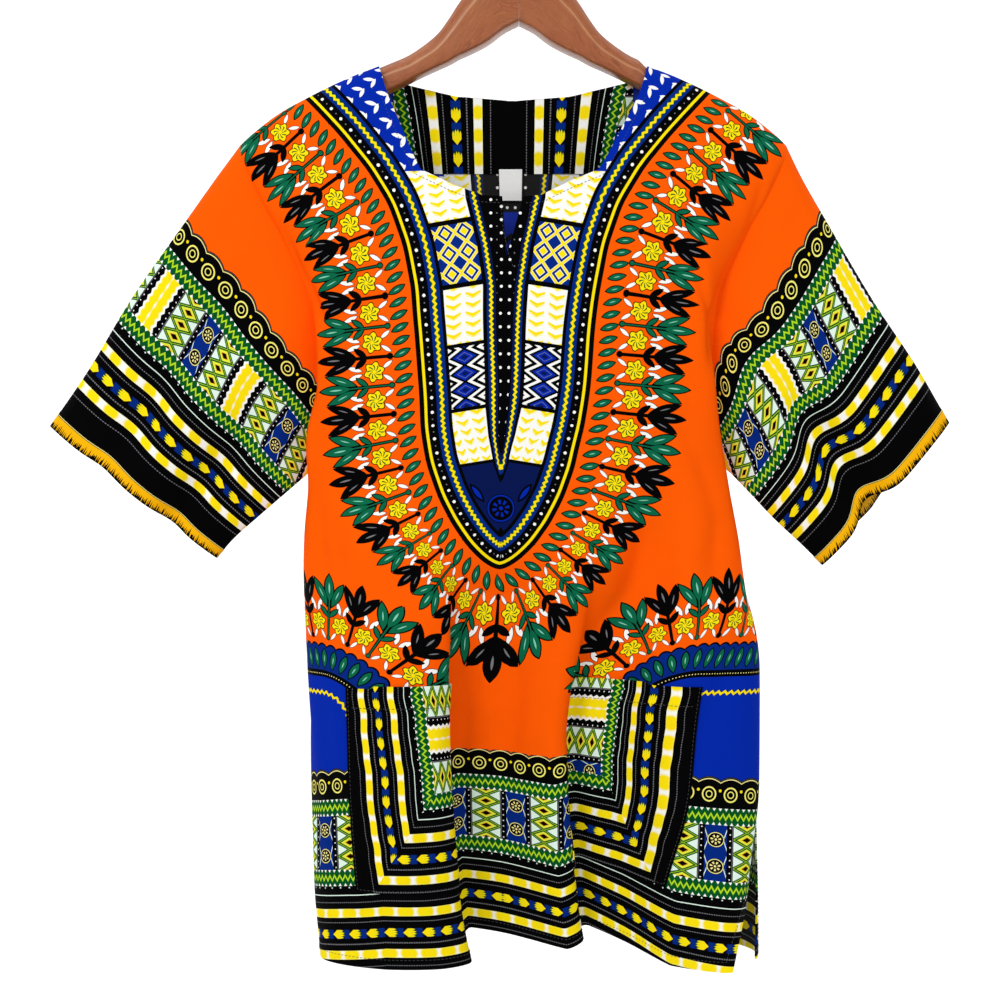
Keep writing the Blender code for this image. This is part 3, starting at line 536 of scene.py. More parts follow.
# A material under construction. Lengths in its patterns are in mm.
class Paint:
    def __init__(self, name):
        self.material = bpy.data.materials.new(name)
        self.material.use_nodes = True
        self.tree = self.material.node_tree
        self.tree.nodes.clear()

    # A new node: settings are its own, "stops" and "ease" a ramp's, and values go to its sockets
    def node(self, kind, settings=None, values=None, output=0):
        made = self.tree.nodes.new(kind)
        for key, value in (settings or {}).items():
            if key == "stops":
                ramp = made.color_ramp
                for place, _ in value[1:-1]:
                    ramp.elements.new(place)
                for element, (place, colour) in zip(ramp.elements, value):
                    element.position = place
                    element.color = colour
            elif key == "ease":
                made.color_ramp.interpolation = value
            else:
                setattr(made, key, value)
        for key, value in (values or {}).items():
            if isinstance(value, Amount):
                self.tree.links.new(value.socket, made.inputs[key])
            else:
                made.inputs[key].default_value = value
        return Amount(self, made.outputs[output]) if len(made.outputs) else made

    def math(self, operation, *values):
        return self.node("ShaderNodeMath", {"operation": operation}, dict(enumerate(values)))

    def vector(self, operation, *values, output=0):
        return self.node("ShaderNodeVectorMath", {"operation": operation}, dict(enumerate(values)), output)

    # The two coordinates of a UV map, in mm
    def along(self, name):
        uv = self.node("ShaderNodeUVMap", {"uv_map": name})
        place = self.vector("MULTIPLY", uv, (1000, 1000, 0))
        return self.split(place)

    def split(self, place):
        first = self.node("ShaderNodeSeparateXYZ", None, {0: place})
        return first, Amount(self, first.socket.node.outputs[1])

    def place(self, x, y):
        return self.node("ShaderNodeCombineXYZ", None, {0: x, 1: y})

    # One colour laid over another where the mask is 1
    def over(self, base, mask, colour):
        values = {0: mask, 6: dye(base), 7: dye(colour)}
        return self.node("ShaderNodeMix", {"data_type": "RGBA", "clamp_factor": True}, values, 2)

    # A ramp of colours or numbers from low to high, which changes at each stop
    def steps(self, value, low, high, stops, ease="CONSTANT"):
        share = self.math("MULTIPLY_ADD", value, 1 / (high - low), -low / (high - low))
        stops = [
            ((at - low) / (high - low), (c, c, c, 1) if isinstance(c, (int, float)) else dye(c))
            for at, c in stops
        ]
        return self.node("ShaderNodeValToRGB", {"ease": ease, "stops": stops}, {0: share})

    # 1 between two values
    def within(self, value, low, high):
        return self.math("COMPARE", value, (low + high) / 2, (high - low) / 2)

    # From minus half a pitch to half a pitch, over and over; shift is a share of the pitch
    def repeat(self, value, pitch, shift=0.0):
        place = self.math("FRACT", self.math("MULTIPLY_ADD", value, 1 / pitch, 0.5 + shift))
        return self.math("MULTIPLY_ADD", place, pitch, -pitch / 2)

    # A zigzag of straight strokes
    def wave(self, value, pitch, height):
        folded = self.math("PINGPONG", value, pitch / 2)
        return self.math("MULTIPLY_ADD", folded, 4 * height / pitch, -height)

    def length(self, x, y):
        return self.vector("LENGTH", self.place(x, y), output=1)

    def inSpace(self):
        return self.node("ShaderNodeTexCoord", None, None, 3)

    def noise(self, place, scale, detail, **more):
        values = {"Vector": place, "Scale": scale, "Detail": detail, **more}
        return self.node("ShaderNodeTexNoise", None, values)

    def wobble(self, value, scale, detail):
        values = {"W": value, "Scale": scale, "Detail": detail}
        return self.node("ShaderNodeTexNoise", {"noise_dimensions": "1D"}, values)

    # The shader over a bump of a given strength and depth in m, joined to the output
    def finish(self, colour, roughness, height, strength, depth, more=None):
        values = {"Strength": strength, "Distance": depth, "Height": height}
        bump = self.node("ShaderNodeBump", None, values)
        values = {"Base Color": colour, "Roughness": roughness, "Normal": bump, **(more or {})}
        shader = self.node("ShaderNodeBsdfPrincipled", None, values)
        self.node("ShaderNodeOutputMaterial", None, {0: shader})
        return self.material

    # A leaf pointed at both ends: how far inside its edge each place is, in mm
    def leaf(self, place, x, y, angle, half, width):
        radius = (half**2 + width**2) / (2 * width)
        turned = {0: place, 1: (x, y, 0), 2: (0, 0, math.radians(angle)), 3: (1, 1, 1)}
        moved = self.node("ShaderNodeMapping", {"vector_type": "TEXTURE"}, turned)
        folded = self.vector("ABSOLUTE", moved)
        far = self.vector("LENGTH", self.vector("ADD", folded, (0, radius - width, 0)), output=1)
        return radius - far


weave = {
    "thread": 0.42, "bump": 0.22, "deep": 0.0005, "roughness": 0.8, "specular": 0.03, "fade": 0.03,
    "mottle": 45.0, "fibre": 1100.0,
}


# The finished cotton: a printed colour, a little uneven, over a plain weave.
def cotton(paint, colour, reverse):
    if reverse:
        colour = paint.over(colour, 0.05, "reverse")
    uv = paint.node("ShaderNodeUVMap", {"uv_map": "flat"})
    mottle, fibre = paint.noise(uv, weave["mottle"], 3.0), paint.noise(uv, weave["fibre"], 1.0)
    tone = mottle * (3 * weave["fade"]) + fibre * (4 * weave["fade"]) + (1 - 3.5 * weave["fade"])
    toned = paint.vector("MULTIPLY", colour, tone)
    threads = paint.vector("MULTIPLY", uv, (1000 * math.pi / weave["thread"],) * 3)
    x, y = paint.split(paint.vector("SINE", threads))
    height = x * y * 0.5 + fibre + mottle * 3
    roughness = fibre * 0.2 + (weave["roughness"] - 0.1)
    more = {"Specular IOR Level": weave["specular"]}
    return paint.finish(toned, roughness, height, weave["bump"], weave["deep"], more)


# The label: a white satin ribbon, left bare, with a line down each woven edge.
def satin(reverse):
    p = Paint("label_satin" + ("_reverse" if reverse else ""))
    uv = p.node("ShaderNodeUVMap", {"uv_map": "flat"})
    x, y = p.along("flat")
    rib = p.math("SINE", y * 14)
    cloud = p.noise(uv, 240.0, 2.0)
    tone = p.over((0.86, 0.86, 0.85, 1), cloud, (0.93, 0.93, 0.92, 1))
    tone = p.over(tone, p.within(abs(x), 9.3, 9.7) * 0.5, (0.62, 0.62, 0.62, 1))
    return p.finish(tone, cloud * 0.2 + (0.55 if reverse else 0.38), rib * 0.5 + cloud, 0.15, 0.0002)


# The border that runs along the hem, round the sleeves and down the pockets: rows in mm up
# from its edge, and the length in which each repeat comes round.
border = {
    "dashes": (3.6, 22.2, 39.8, 56.0), "dashWidth": 0.7, "dashPitch": 2.0,
    "arrowRow": 30.6, "arrowHalf": 3.7, "arrowPitch": 15.6,
    "barOffset": 16.9, "barHalf": 3.5, "barPitch": 16.4,
    "line": 62.2, "dotRow": 68.4, "dotPitch": 8.5,
    "middle": 105.0, "zigzagOffset": 28.6, "zigzagHalf": 6.6, "zigzagPitch": 5.2,
    "longPitch": 94.8, "shortPitch": 44.8, "diamondPitch": 11.2, "ringPitch": 18.6, "ringRow": 151.2,
    "scallop": 159.6, "top": 164.0,
}


# Bars whose yellow is soft and reaches "full" mm from their middle, between white ends
def bars(p, ground, along, across, half, pitch, full):
    x = abs(p.repeat(along, pitch))
    soft = (full - x - across * across * 0.12) * 0.45
    bar = p.over("white", soft, "yellow")
    edge = abs(across) > half - 0.6
    bar = p.over(bar, edge * 0.4, "pale")
    return p.over(ground, abs(across) < half, bar)


def arrows(p, ground, along, across, half, pitch):
    x = p.repeat(along, pitch, 0.2)
    y = abs(across)
    barbs = p.wave(y, 1.9, 1.2)
    chain = p.over("navy", (x > -5.6) & (x < -1.8), "black")
    chain = p.over(chain, (x > 4.6) | (x < -6.6), "blue")
    head = (x - y * 1.15 > -6.6) & (x < barbs - y * 0.5 + 3.6) & (y < half - 0.2)
    chain = p.over(chain, (x < barbs - y * 0.5 + 4.6) & (x > 0) & (y < half - 0.6), "green")
    chain = p.over(chain, head, "yellow")
    chain = p.over(chain, head & (x > 0) & (abs(p.repeat(y, 1.9)) < 0.22), "lime")
    return p.over(ground, y < half, chain)


def zigzags(p, ground, along, across, half, pitch):
    band = abs(across) < half
    zig = abs(across - p.wave(along, pitch, 2.1)) < 1.2
    teeth = abs(across) - abs(p.repeat(along, pitch)) * 1.5 > half - 2.3
    made = p.over("green", zig, "lime")
    made = p.over(made, teeth, "white")
    return p.over(ground, band, made)


def rosette(p, ground, x, y, size, petals=7, light="cream", dark="black"):
    r = p.length(x, y)
    turn = p.math("SINE", p.math("ARCTAN2", y, x) * petals)
    made = p.over(ground, r < size, dark)
    made = p.over(made, p.within(r, size * 0.84, size * 0.94), light)
    made = p.over(made, (turn > 0.1) & p.within(r, size * 0.30, size * 0.60), light)
    return p.over(made, r < size * 0.14, light)


# The tall row of panels: diamonds, rosettes and, if asked for, yellow columns
def panelRow(p, ground, along, up, yellow):
    b = border
    a = abs(p.repeat(along, b["longPitch"] if yellow else b["shortPitch"]))
    v = up - b["middle"]
    row = abs(v) < b["zigzagOffset"] - b["zigzagHalf"] + 0.5
    made = p.steps(a, 0, 48, [
        (0, "blue"), (7.6, "black"), (12.4, "milk"), (32.4, "black"), (37.2, "white"),
    ])
    # diamonds within diamonds
    x, y = abs(a - 22.4), abs(p.repeat(v, b["diamondPitch"]))
    d = x / 9.8 + y / (b["diamondPitch"] / 2)
    rings = p.steps(d, 0, 2, [
        (0, "black"), (0.30, "brown"), (0.37, "gold"), (0.45, "citron"), (0.76, "green"), (0.98, "lime"),
        (1.06, "green"), (1.26, "milk"),
    ])
    made = p.over(made, x < 10, rings)
    # dots in the black strips, and a hair line beside each
    dots = p.length(x - 12.4, p.repeat(v, 5.0)) < 0.5
    made = p.over(made, p.within(x, 10.5, 10.9), "ash")
    made = p.over(made, dots, "white")
    # rosettes in blue, between two waved lines
    y = p.repeat(v, 21.0, 0.5)
    edge = p.within(a + p.math("COSINE", y * (2 * math.pi / 21)) * 1.1, 6.6, 7.2)
    flower = rosette(p, p.over("blue", edge, "milk"), a, y, 6.2)
    made = p.over(made, a < 7.6, flower)
    if yellow:
        # two soft yellow columns with a waved edge
        y = abs(47.4 - a)
        made = p.over(made, (y > p.wave(v, 6.0, 0.8) + 9.0) & (a > 36), "black")
        column = (p.wave(v, 6.0, 0.8) + (7.6 - y)) * 0.8
        gap = (y + 0.2 - p.wave(v, 9.0, 0.5)) * 0.9
        made = p.over(made, p.math("MINIMUM", column, gap) & (a > 37.2), "yellow")
    return p.over(ground, row, made)


# Double rings under a scalloped edge
def ringRow(p, ground, along, up):
    b = border
    x = p.repeat(along, b["ringPitch"], 0.25)
    y = up - b["ringRow"]
    edge = up + x * x * 0.036 - b["scallop"]
    made = p.over("black", p.within(edge, 3.4, 4.2), "cream")
    made = p.over(made, p.within(edge, 5.1, 5.4) * 0.6, "ash")
    r = p.length(x, y)
    ring = p.within(r, 4.9, 6.1) | p.within(r, 2.1, 2.9)
    made = p.over(made, ring, "pale")
    tick = p.length(abs(x) - b["ringPitch"] / 2, y - 3.0) < 1.2
    made = p.over(made, tick, "yellow")
    return p.over(ground, (edge < 6.0) & (up > 130), made)


# The rows from the edge up to the second zigzag; the panels may start elsewhere than the rest.
def borderPrint(p, along, up, ground, yellow=True, panelsAlong=None, full=7.4):
    b = border
    fold = abs(up - b["arrowRow"])
    low = p.over(ground, up < b["middle"], "black")
    low = bars(p, low, along, fold - b["barOffset"], b["barHalf"], b["barPitch"], full)
    low = arrows(p, low, along, up - b["arrowRow"], b["arrowHalf"], b["arrowPitch"])
    half = b["dashWidth"] / 2
    marks = [(0, 0)]
    for at in b["dashes"]:
        marks += [(at - half, 1), (at + half, 0)]
    dashes = p.steps(up, 0, 80, marks) & (abs(p.repeat(along, b["dashPitch"])) < b["dashPitch"] * 0.32)
    low = p.over(low, dashes, "ash")
    low = p.over(low, p.within(up, b["line"] - 0.4, b["line"] + 0.4), "milk")
    low = p.over(low, p.length(p.repeat(along, b["dotPitch"]), up - b["dotRow"]) < 0.6, "milk")
    across = abs(up - b["middle"]) - b["zigzagOffset"]
    low = panelRow(p, low, along if panelsAlong is None else panelsAlong, up, yellow)
    return zigzags(p, low, along, across, b["zigzagHalf"], b["zigzagPitch"])


# Leaves, daisies and sprigs that stand round the yoke and the corners: a cell of the ring holds
# one sprig, with a daisy and white petals on each side of it. r is 0 at the row of leaves.
sprig = {"pitch": 25.0, "start": 10.5, "end": 48.0, "daisyAt": 25.0, "daisySize": 8.4, "deep": 80.0}
leafSize = {"pitch": 10.8, "half": 8.8, "width": 3.4, "lean": 68}


def leafRow(p, ground, along, away):
    pitch, half, width, lean = leafSize.values()
    deep = p.leaf(p.place(p.repeat(along, pitch), away), 0, 0, lean, half, width)
    made = p.over(ground, deep > 0, "black")
    made = p.over(made, deep > 0.9, "teal")
    return p.over(made, deep > width - 0.42, "mint")


def sprigRing(p, ground, along, r):
    g = sprig
    x = p.repeat(along, g["pitch"])
    other = p.math("FLOORED_MODULO", p.math("FLOOR", along / g["pitch"] + 0.5), 2.0)
    beside = p.repeat(along, g["pitch"], 0.5)
    # white petals
    sides = p.place(abs(beside), r)
    white = p.leaf(sides, 3.4, 42.0, 72, 7.6, 2.4) | p.leaf(sides, 5.8, 13.2, 125, 6.0, 2.1)
    made = p.over(ground, white > 0, "rust")
    made = p.over(made, white > 0.55, "white")
    # daisies
    y = r - g["daisyAt"]
    turn = p.math("ARCTAN2", y, beside)
    reach = p.length(beside, y)
    edge = reach - p.math("SINE", turn * 6) * 1.2
    made = p.over(made, edge < g["daisySize"], "black")
    made = p.over(made, edge < g["daisySize"] - 0.9, "yellow")
    scribble = (p.math("SINE", turn * 9 + reach * 0.9) > 0.45) & p.within(reach, 1.5, 6.0)
    made = p.over(made, scribble, "green")
    # the sprig itself
    place = p.place(abs(x), r)
    leaves = p.leaf(place, 0, 60.0, 90, 14.0, 3.7) | p.leaf(place, 6.8, 54.5, 70, 14.0, 3.5)
    leaves = leaves | p.leaf(place, 4.4, 36.0, 52, 6.2, 2.1)
    middle, half = (g["start"] + g["end"]) / 2, (g["end"] - g["start"]) / 2
    stem = 0.8 - (abs(x) | (abs(r - middle) - half))
    bud = 2.1 - p.length(x, r - g["start"])
    deep = leaves | stem | bud
    inside = p.over("black", other, "teal")
    made = p.over(made, deep > -0.7, "black")
    made = p.over(made, deep > 0.25, inside)
    rib = p.over("ash", other, "mint")
    return p.over(made, p.within(leaves, 3.05, 6.0), rib)


corner = {
    "across": 256.0, "flat": 62.0, "up": 200.0, "flatten": 0.8, "ring": 60.0, "edge": 62.0,
    "ringTop": 1.14, "ringSide": 0.12, "ringDeep": 76.0, "lastSprig": 1.42,
}


# Sprigs and drops round a rounded blue corner. Each row is measured along its own arc: the turn
# times that arc's radius.
def cornerPrint(p, ground, s, up):
    x, y = corner["across"] - corner["flat"] - abs(s), up - corner["up"]
    ahead, above = p.math("MAXIMUM", x, 0.0), p.math("MAXIMUM", y, 0.0)
    r = p.length(ahead * corner["flatten"], above)
    turn = p.math("ARCTAN2", ahead, above + 0.01)
    run = p.math("MINIMUM", x, 0.0) - p.math("MINIMUM", y, 0.0)
    ringAway = (r - corner["ring"]) * (turn * corner["ringSide"] + corner["ringTop"])
    made = sprigRing(p, ground, (run + turn * 88) * 1.1, ringAway)
    drops = p.leaf(p.place(p.repeat(run + turn * 52, 9.6), r), 0, 50.5, 90, 8.4, 3.1)
    arcs = p.steps(r, 0, 70, [(0, "royal"), (34.6, "black"), (40.4, "blue")])
    zig = abs(r - 21.7 + p.wave(run + turn * 22, 5.6, 1.2))
    arcs = p.over(arcs, zig < 1.7, "navy")
    arcs = p.over(arcs, zig < 1.15, "yellow")
    arcs = p.over(arcs, drops > -0.4, "black")
    arcs = p.over(arcs, drops > 0.5, "teal")
    arcs = p.over(arcs, drops > 2.65, "mint")
    dots = p.length(p.repeat(run + turn * 37, 2.4), r - 37.4) < 0.45
    arcs = p.over(arcs, dots, "cream")
    scallop = p.repeat(run + turn * 62, 9.6)
    edge = r + scallop * scallop * 0.11
    made = p.over(made, edge < corner["edge"] + 1.6, "black")
    return p.over(made, edge < corner["edge"], arcs)


yokeRows = {
    "outline": -12.0, "panelTop": 664.0, "rows": (411.0, 459.0, 514.0, 565.0, 621.0),
    "placket": 11.0, "column": 16.5, "petals": (17.0, 13.0), "dotPitch": 11.5,
}


# Everything inside the yoke's outline. "q" is how far a place is outside the placket's line.
def yokePrint(p, back, reverse):
    _, up = p.along("flat")
    along, away = p.along("yoke")
    q, x = p.along("inner")
    deep = yokeRows["outline"] - away
    # the panels, row by row
    column, dotPitch = yokeRows["column"], yokeRows["dotPitch"]
    across = q - yokeRows["placket"]
    row = up + (abs(x) - 30) * 0.16
    cx, cy = abs(p.repeat(across, column, 0.5)), p.repeat(row, 8.3)
    chevron = (p.math("MINIMUM", 2.0 - abs(cy - cx * 0.48 + 1.0) - cx * 0.12, 6.6 - cx)) * 2.5
    made = p.over("white", chevron, "yellow")
    made = p.over(made, (abs(cy - cx * 0.48 + 3.2) < 0.35) & (cx < 6.0), "pale")
    d = abs(across - column) / 11.5 + abs(p.repeat(row, 14.0)) / 7.0
    blues = p.steps(d, 0, 3, [
        (0, "navy"), (0.28, "royal"), (0.52, "ash"), (0.58, "royal"), (0.86, "black"), (1.14, "white"),
        (1.5, "black"), (1.9, "white"), (2.3, "black"),
    ])
    tx, ty = p.repeat(across, column, 0.5), p.repeat(row, 18.0)
    net = abs(tx) / (column / 2) + abs(ty) / 9.0
    trellis = p.steps(net, 0, 2, [
        (0, "yellow"), (0.42, "white"), (0.50, "blue"), (0.82, "white"), (0.88, "yellow"), (1.2, "white"),
        (1.26, "blue"),
    ])
    low, two, three, four, five = yokeRows["rows"]
    made = p.over(made, p.within(row, four, five), trellis)
    made = p.over(made, p.within(row, two, three), blues)
    lines = []
    for at in (low, two, three, four, five):
        lines += [(at - 1.8, 1), (at + 1.8, 0)]
    gaps = p.steps(row, 400, 670, [(400, 0)] + lines)
    made = p.over(made, gaps, "black")
    # the tip: a rosette between two leaves
    tip = rosette(p, "navy", x, up - 376, 12.0, 8, "royal", "black")
    sprays = p.leaf(p.place(abs(x), up), 20, 389, 52, 10, 3.4)
    tip = p.over(tip, sprays > 0, "black")
    tip = p.over(tip, sprays > 1.6, "royal")
    tip = p.over(tip, p.leaf(p.place(abs(x), up), 0, 353, 90, 7, 3.0) > 0, "black")
    made = p.over(made, row < low, tip)
    # blue with white petals beside the neck
    wide, tall = yokeRows["petals"]
    place = p.place(p.repeat(along, wide), p.repeat(deep, tall))
    petals = p.leaf(place, -2.6, 0, 40, 5.2, 1.7) | p.leaf(place, 3.0, 0.4, 115, 4.6, 1.6)
    field = p.over("royal", petals > 0, "white")
    made = p.over(made, (up > yokeRows["panelTop"]) & (abs(x) > 60), field)
    # the placket
    placket = p.steps(q, -4, 14, [
        (-4, "black"), (0, "navy"), (2.2, "green"), (5.6, "blue"), (7.6, "black"),
    ])
    zig = abs(q - 3.9 + p.wave(up, 4.6, 0.9)) < 1.15
    placket = p.over(placket, zig, "yellow")
    dots = p.length(abs(x) - 3.6, p.repeat(up, dotPitch)) < 1.25
    wide = p.length(abs(x) - 12.5, p.repeat(up, dotPitch, 0.5)) < 1.25
    placket = p.over(placket, (dots | (wide & (up > 590))) & (q < -1.5), "white")
    specks = p.length(abs(x) - 7.4, p.repeat(up, dotPitch, 0.5)) < 0.6
    placket = p.over(placket, specks & (q < -0.8), "ash")
    if back:
        vee = abs(x) * 3.4 + 562
        placket = p.over(placket, (up > vee) & (up < 640), "royal")
        placket = p.over(placket, p.within(up + abs(x) * 0.9, 616, 622) & (up > vee), "black")
    made = p.over(made, q < yokeRows["placket"], placket)
    # the parallel bands inside the outline
    bands = p.steps(deep, 0, 28, [
        (0, "black"), (4.0, "yellow"), (6.4, "black"), (14.6, "blue"), (17.2, "green"), (21.2, "blue"),
        (24.2, "black"),
    ])
    zig = abs(deep - 19.2 + p.wave(along, 5.4, 1.0)) < 1.25
    bands = p.over(bands, zig, "yellow")
    bands = p.over(bands, p.length(p.repeat(along, 12.4), deep - 10.6) < 1.35, "white")
    bands = p.over(bands, p.length(p.repeat(along, 12.4, 0.5), deep - 10.6) < 0.6, "ash")
    made = p.over(made, deep < 27.2, bands)
    return cotton(p, made, reverse)


# Orange with the leaves and sprigs that stand round the yoke
def groundPrint(p, reverse):
    along, away = p.along("yoke")
    ringAlong, r = p.along("ring")
    made = leafRow(p, "orange", along, away)
    made = sprigRing(p, made, ringAlong, r)
    made = p.over(made, away < -12.0, "black")
    return cotton(p, made, reverse)


# Orange cloth with nothing printed on it, which renders faster than a patterned one
def plainPrint(p, reverse):
    return cotton(p, p.over("orange", 0.0, "black"), reverse)


# From these places on, the rows dip towards the side seams
hemRows = {
    "left": -150, "leftDip": 0.155, "right": 90, "rightDip": 0.08,
    "rings": 5.2, "scale": 0.93, "panels": 13.4, "long": 1.125, "full": 8.2,
}


def hemPrint(p, reverse):
    s, up = p.along("flat")
    beyondRight = p.math("MAXIMUM", s - hemRows["right"], 0.0)
    beyondLeft = p.math("MAXIMUM", hemRows["left"] - s, 0.0)
    up = up + beyondRight * hemRows["rightDip"] + beyondLeft * hemRows["leftDip"]
    blueFrom = corner["across"] - corner["flat"] - corner["ring"]
    ground = p.over("orange", abs(s) > blueFrom, "royal")
    made = ringRow(p, ground, s - hemRows["rings"], up)
    panels = (s * hemRows["scale"] - hemRows["panels"]) / hemRows["long"]
    made = borderPrint(p, -1 * abs(s), up, made, False, panels, hemRows["full"])
    return cotton(p, made, reverse)


def cornersPrint(p, reverse):
    s, up = p.along("flat")
    return cotton(p, cornerPrint(p, "orange", s, up), reverse)


# The border is drawn this much larger on the sleeves, in height and round them; its row at
# "row" lies "low" mm above the cuff, and its panels are moved round by "panels". The cloth is
# plain above "plain", in m, and the lower side is shorter than the upper one by "shorter".
sleeveRows = {
    "low": 41, "row": 9.5, "tall": 1.125, "long": 1.35, "panels": {"left": 25.8, "right": 33.7},
    "full": 6.8, "gold": 11.6, "edge": 13, "plain": 0.224, "upper": 0.215, "shorter": 0.052,
}


def sleevePrint(p, side, reverse):
    u, v = p.along("flat")
    up = (v - sleeveRows["low"]) / sleeveRows["tall"] + sleeveRows["row"]
    along = u / -sleeveRows["long"]
    panels = u / sleeveRows["long"] + sleeveRows["panels"][side]
    made = ringRow(p, "orange", along, up)
    made = borderPrint(p, along, up, made, True, panels, sleeveRows["full"])
    # the gold edge with its comb of short strokes
    strokes = p.wobble(u, 0.55, 2.0)
    comb = abs(p.repeat(u + strokes * 2.5, 1.7)) < (strokes * 15 - 1.2 - v) * 0.17
    edge = p.over("gold", comb, "black")
    edge = p.over(edge, v > sleeveRows["gold"], "black")
    edge = p.over(edge, p.within(v, 12.2, 12.8), "cream")
    made = p.over(made, v < sleeveRows["edge"], edge)
    return cotton(p, made, reverse)


# The border's rows run down beside a pocket's outer edge, turn a corner and run along its
# bottom. Beside the edge the left pocket's are drawn close together, and the right one's wide
# at first and closer further in.
pocketRows = {
    "left": {"scale": 1.31, "ripple": 5, "start": 13.2, "from": 150, "lean": 0.07, "panels": 101.1},
    "right": {
        "scale": 0.94, "ripple": 4, "start": 2, "first": 0.55, "curve": 0.0105, "further": 1.35,
        "furtherStart": 9, "panels": 114,
    },
    "bottom": 2.5, "turn": 82, "tall": 1.25, "full": 7.6,
}


def pocketPrint(p, side, reverse):
    s, up = p.along("flat")
    left, right = pocketEdges[side]
    rows = pocketRows[side]
    ripple = p.wobble(up, 0.035, 1.0)
    inwards = s - 1000 * left if side == "left" else 1000 * right - s
    beside = inwards * rows["scale"] + ripple * rows["ripple"] - rows["start"]
    if side == "left":
        beside = beside + (up - rows["from"]) * rows["lean"]
    else:
        first = beside * (beside * rows["curve"] + rows["first"])
        beside = p.math("MINIMUM", first, beside * rows["further"] - rows["furtherStart"])
    above = up - 1000 * pocketBottom + pocketRows["bottom"]
    inPanels = above > pocketRows["turn"]
    h = p.math("MINIMUM", beside, above + inPanels * 200)
    turned = (beside < above) | inPanels
    run = s if side == "left" else -1 * s
    along = p.node("ShaderNodeMix", {"data_type": "FLOAT"}, {0: turned, 2: run, 3: up})
    panels = up / pocketRows["tall"] - rows["panels"]
    return cotton(p, borderPrint(p, along, h, "black", True, panels, pocketRows["full"]), reverse)


# The facing's rows stand upright on both sides of its middle, closer together near the ends
facingRows = {
    "bend": 0.00002, "scale": 0.936, "start": 11, "endsAt": 70, "close": 0.6, "tall": 1.23, "full": 6.4,
}


def facingPrint(p, reverse):
    s, up = p.along("flat")
    x = abs(s)
    x = x - (up - 1000 * facing["bottom"]) * x * x * facingRows["bend"]
    ends = p.math("MAXIMUM", x - facingRows["endsAt"], 0.0)
    h = x * facingRows["scale"] - facingRows["start"] + ends * facingRows["close"]
    along = up / facingRows["tall"]
    return cotton(p, borderPrint(p, along, h, "black", full=facingRows["full"]), reverse)


# The printed side of a cloth and its paler reverse
def materialPair(name, draw, *details):
    made = []
    for reverse in (False, True):
        p = Paint(name + ("_reverse" if reverse else ""))
        made.append(draw(p, *details, reverse=reverse))
    return made


# The curve through the row of leaves, from the tip up both sides to the shoulders, in mm from
# the middle thread and above the hem. Everything printed round the neck runs beside it.
leafCurve = np.array([
    (0, 311), (12, 315), (24, 323), (38, 337), (52, 357), (64, 380), (74, 408), (81, 442), (85, 482),
    (88, 522), (92, 560), (99, 596), (111, 630), (129, 660), (152, 689), (180, 720), (205, 750), (235, 792),
], float)
middleLine = np.array([(200, -11), (306, -10), (411, -5), (564, 1), (700, 3)], float)
placketHalf = np.array([
    (414, 0), (437, 3.6), (467, 5.0), (513, 6.6), (564, 8.2), (600, 13.5), (640, 23), (700, 28), (770, 34),
], float)


# The ring of sprigs is spaced along a line this far out, in mm, and squeezed by these shares
spacing = {"lineOut": 37.0, "tip": -0.15, "tipWidth": 22, "sides": 0.27, "sidesAt": 92, "sidesWidth": 46}


def yokeLines():
    steps = lengthAlong(leafCurve)
    curve = sampled(np.arange(0, steps[-1], 1.0), steps, leafCurve)
    mirror = np.concatenate([curve[:0:-1] * (-1, 1), curve])
    for _ in range(60):
        mirror[1:-1] = (mirror[:-2] + 2 * mirror[1:-1] + mirror[2:]) / 4
    run = unit(np.gradient(mirror, axis=0))
    out = np.stack([run[:, 1], -run[:, 0]], -1)
    lengths = []
    for line in (mirror, mirror + spacing["lineOut"] * out):
        length = lengthAlong(line)
        lengths.append(length - length[len(length) // 2])
    bend = (np.gradient(out, axis=0) * run).sum(1) / np.gradient(lengths[0])
    # the ring round the tip is drawn long at its middle and short on each side of it
    reach = abs(lengths[1])
    tip = spacing["tip"] * np.exp(-((reach / spacing["tipWidth"]) ** 2))
    sides = spacing["sides"] * np.exp(-(((reach - spacing["sidesAt"]) / spacing["sidesWidth"]) ** 2))
    squeeze = 1 + tip + sides
    ringLength = np.cumsum(np.gradient(lengths[1]) * squeeze)
    return mirror, out, bend, lengths[0], ringLength - ringLength[len(ringLength) // 2], squeeze


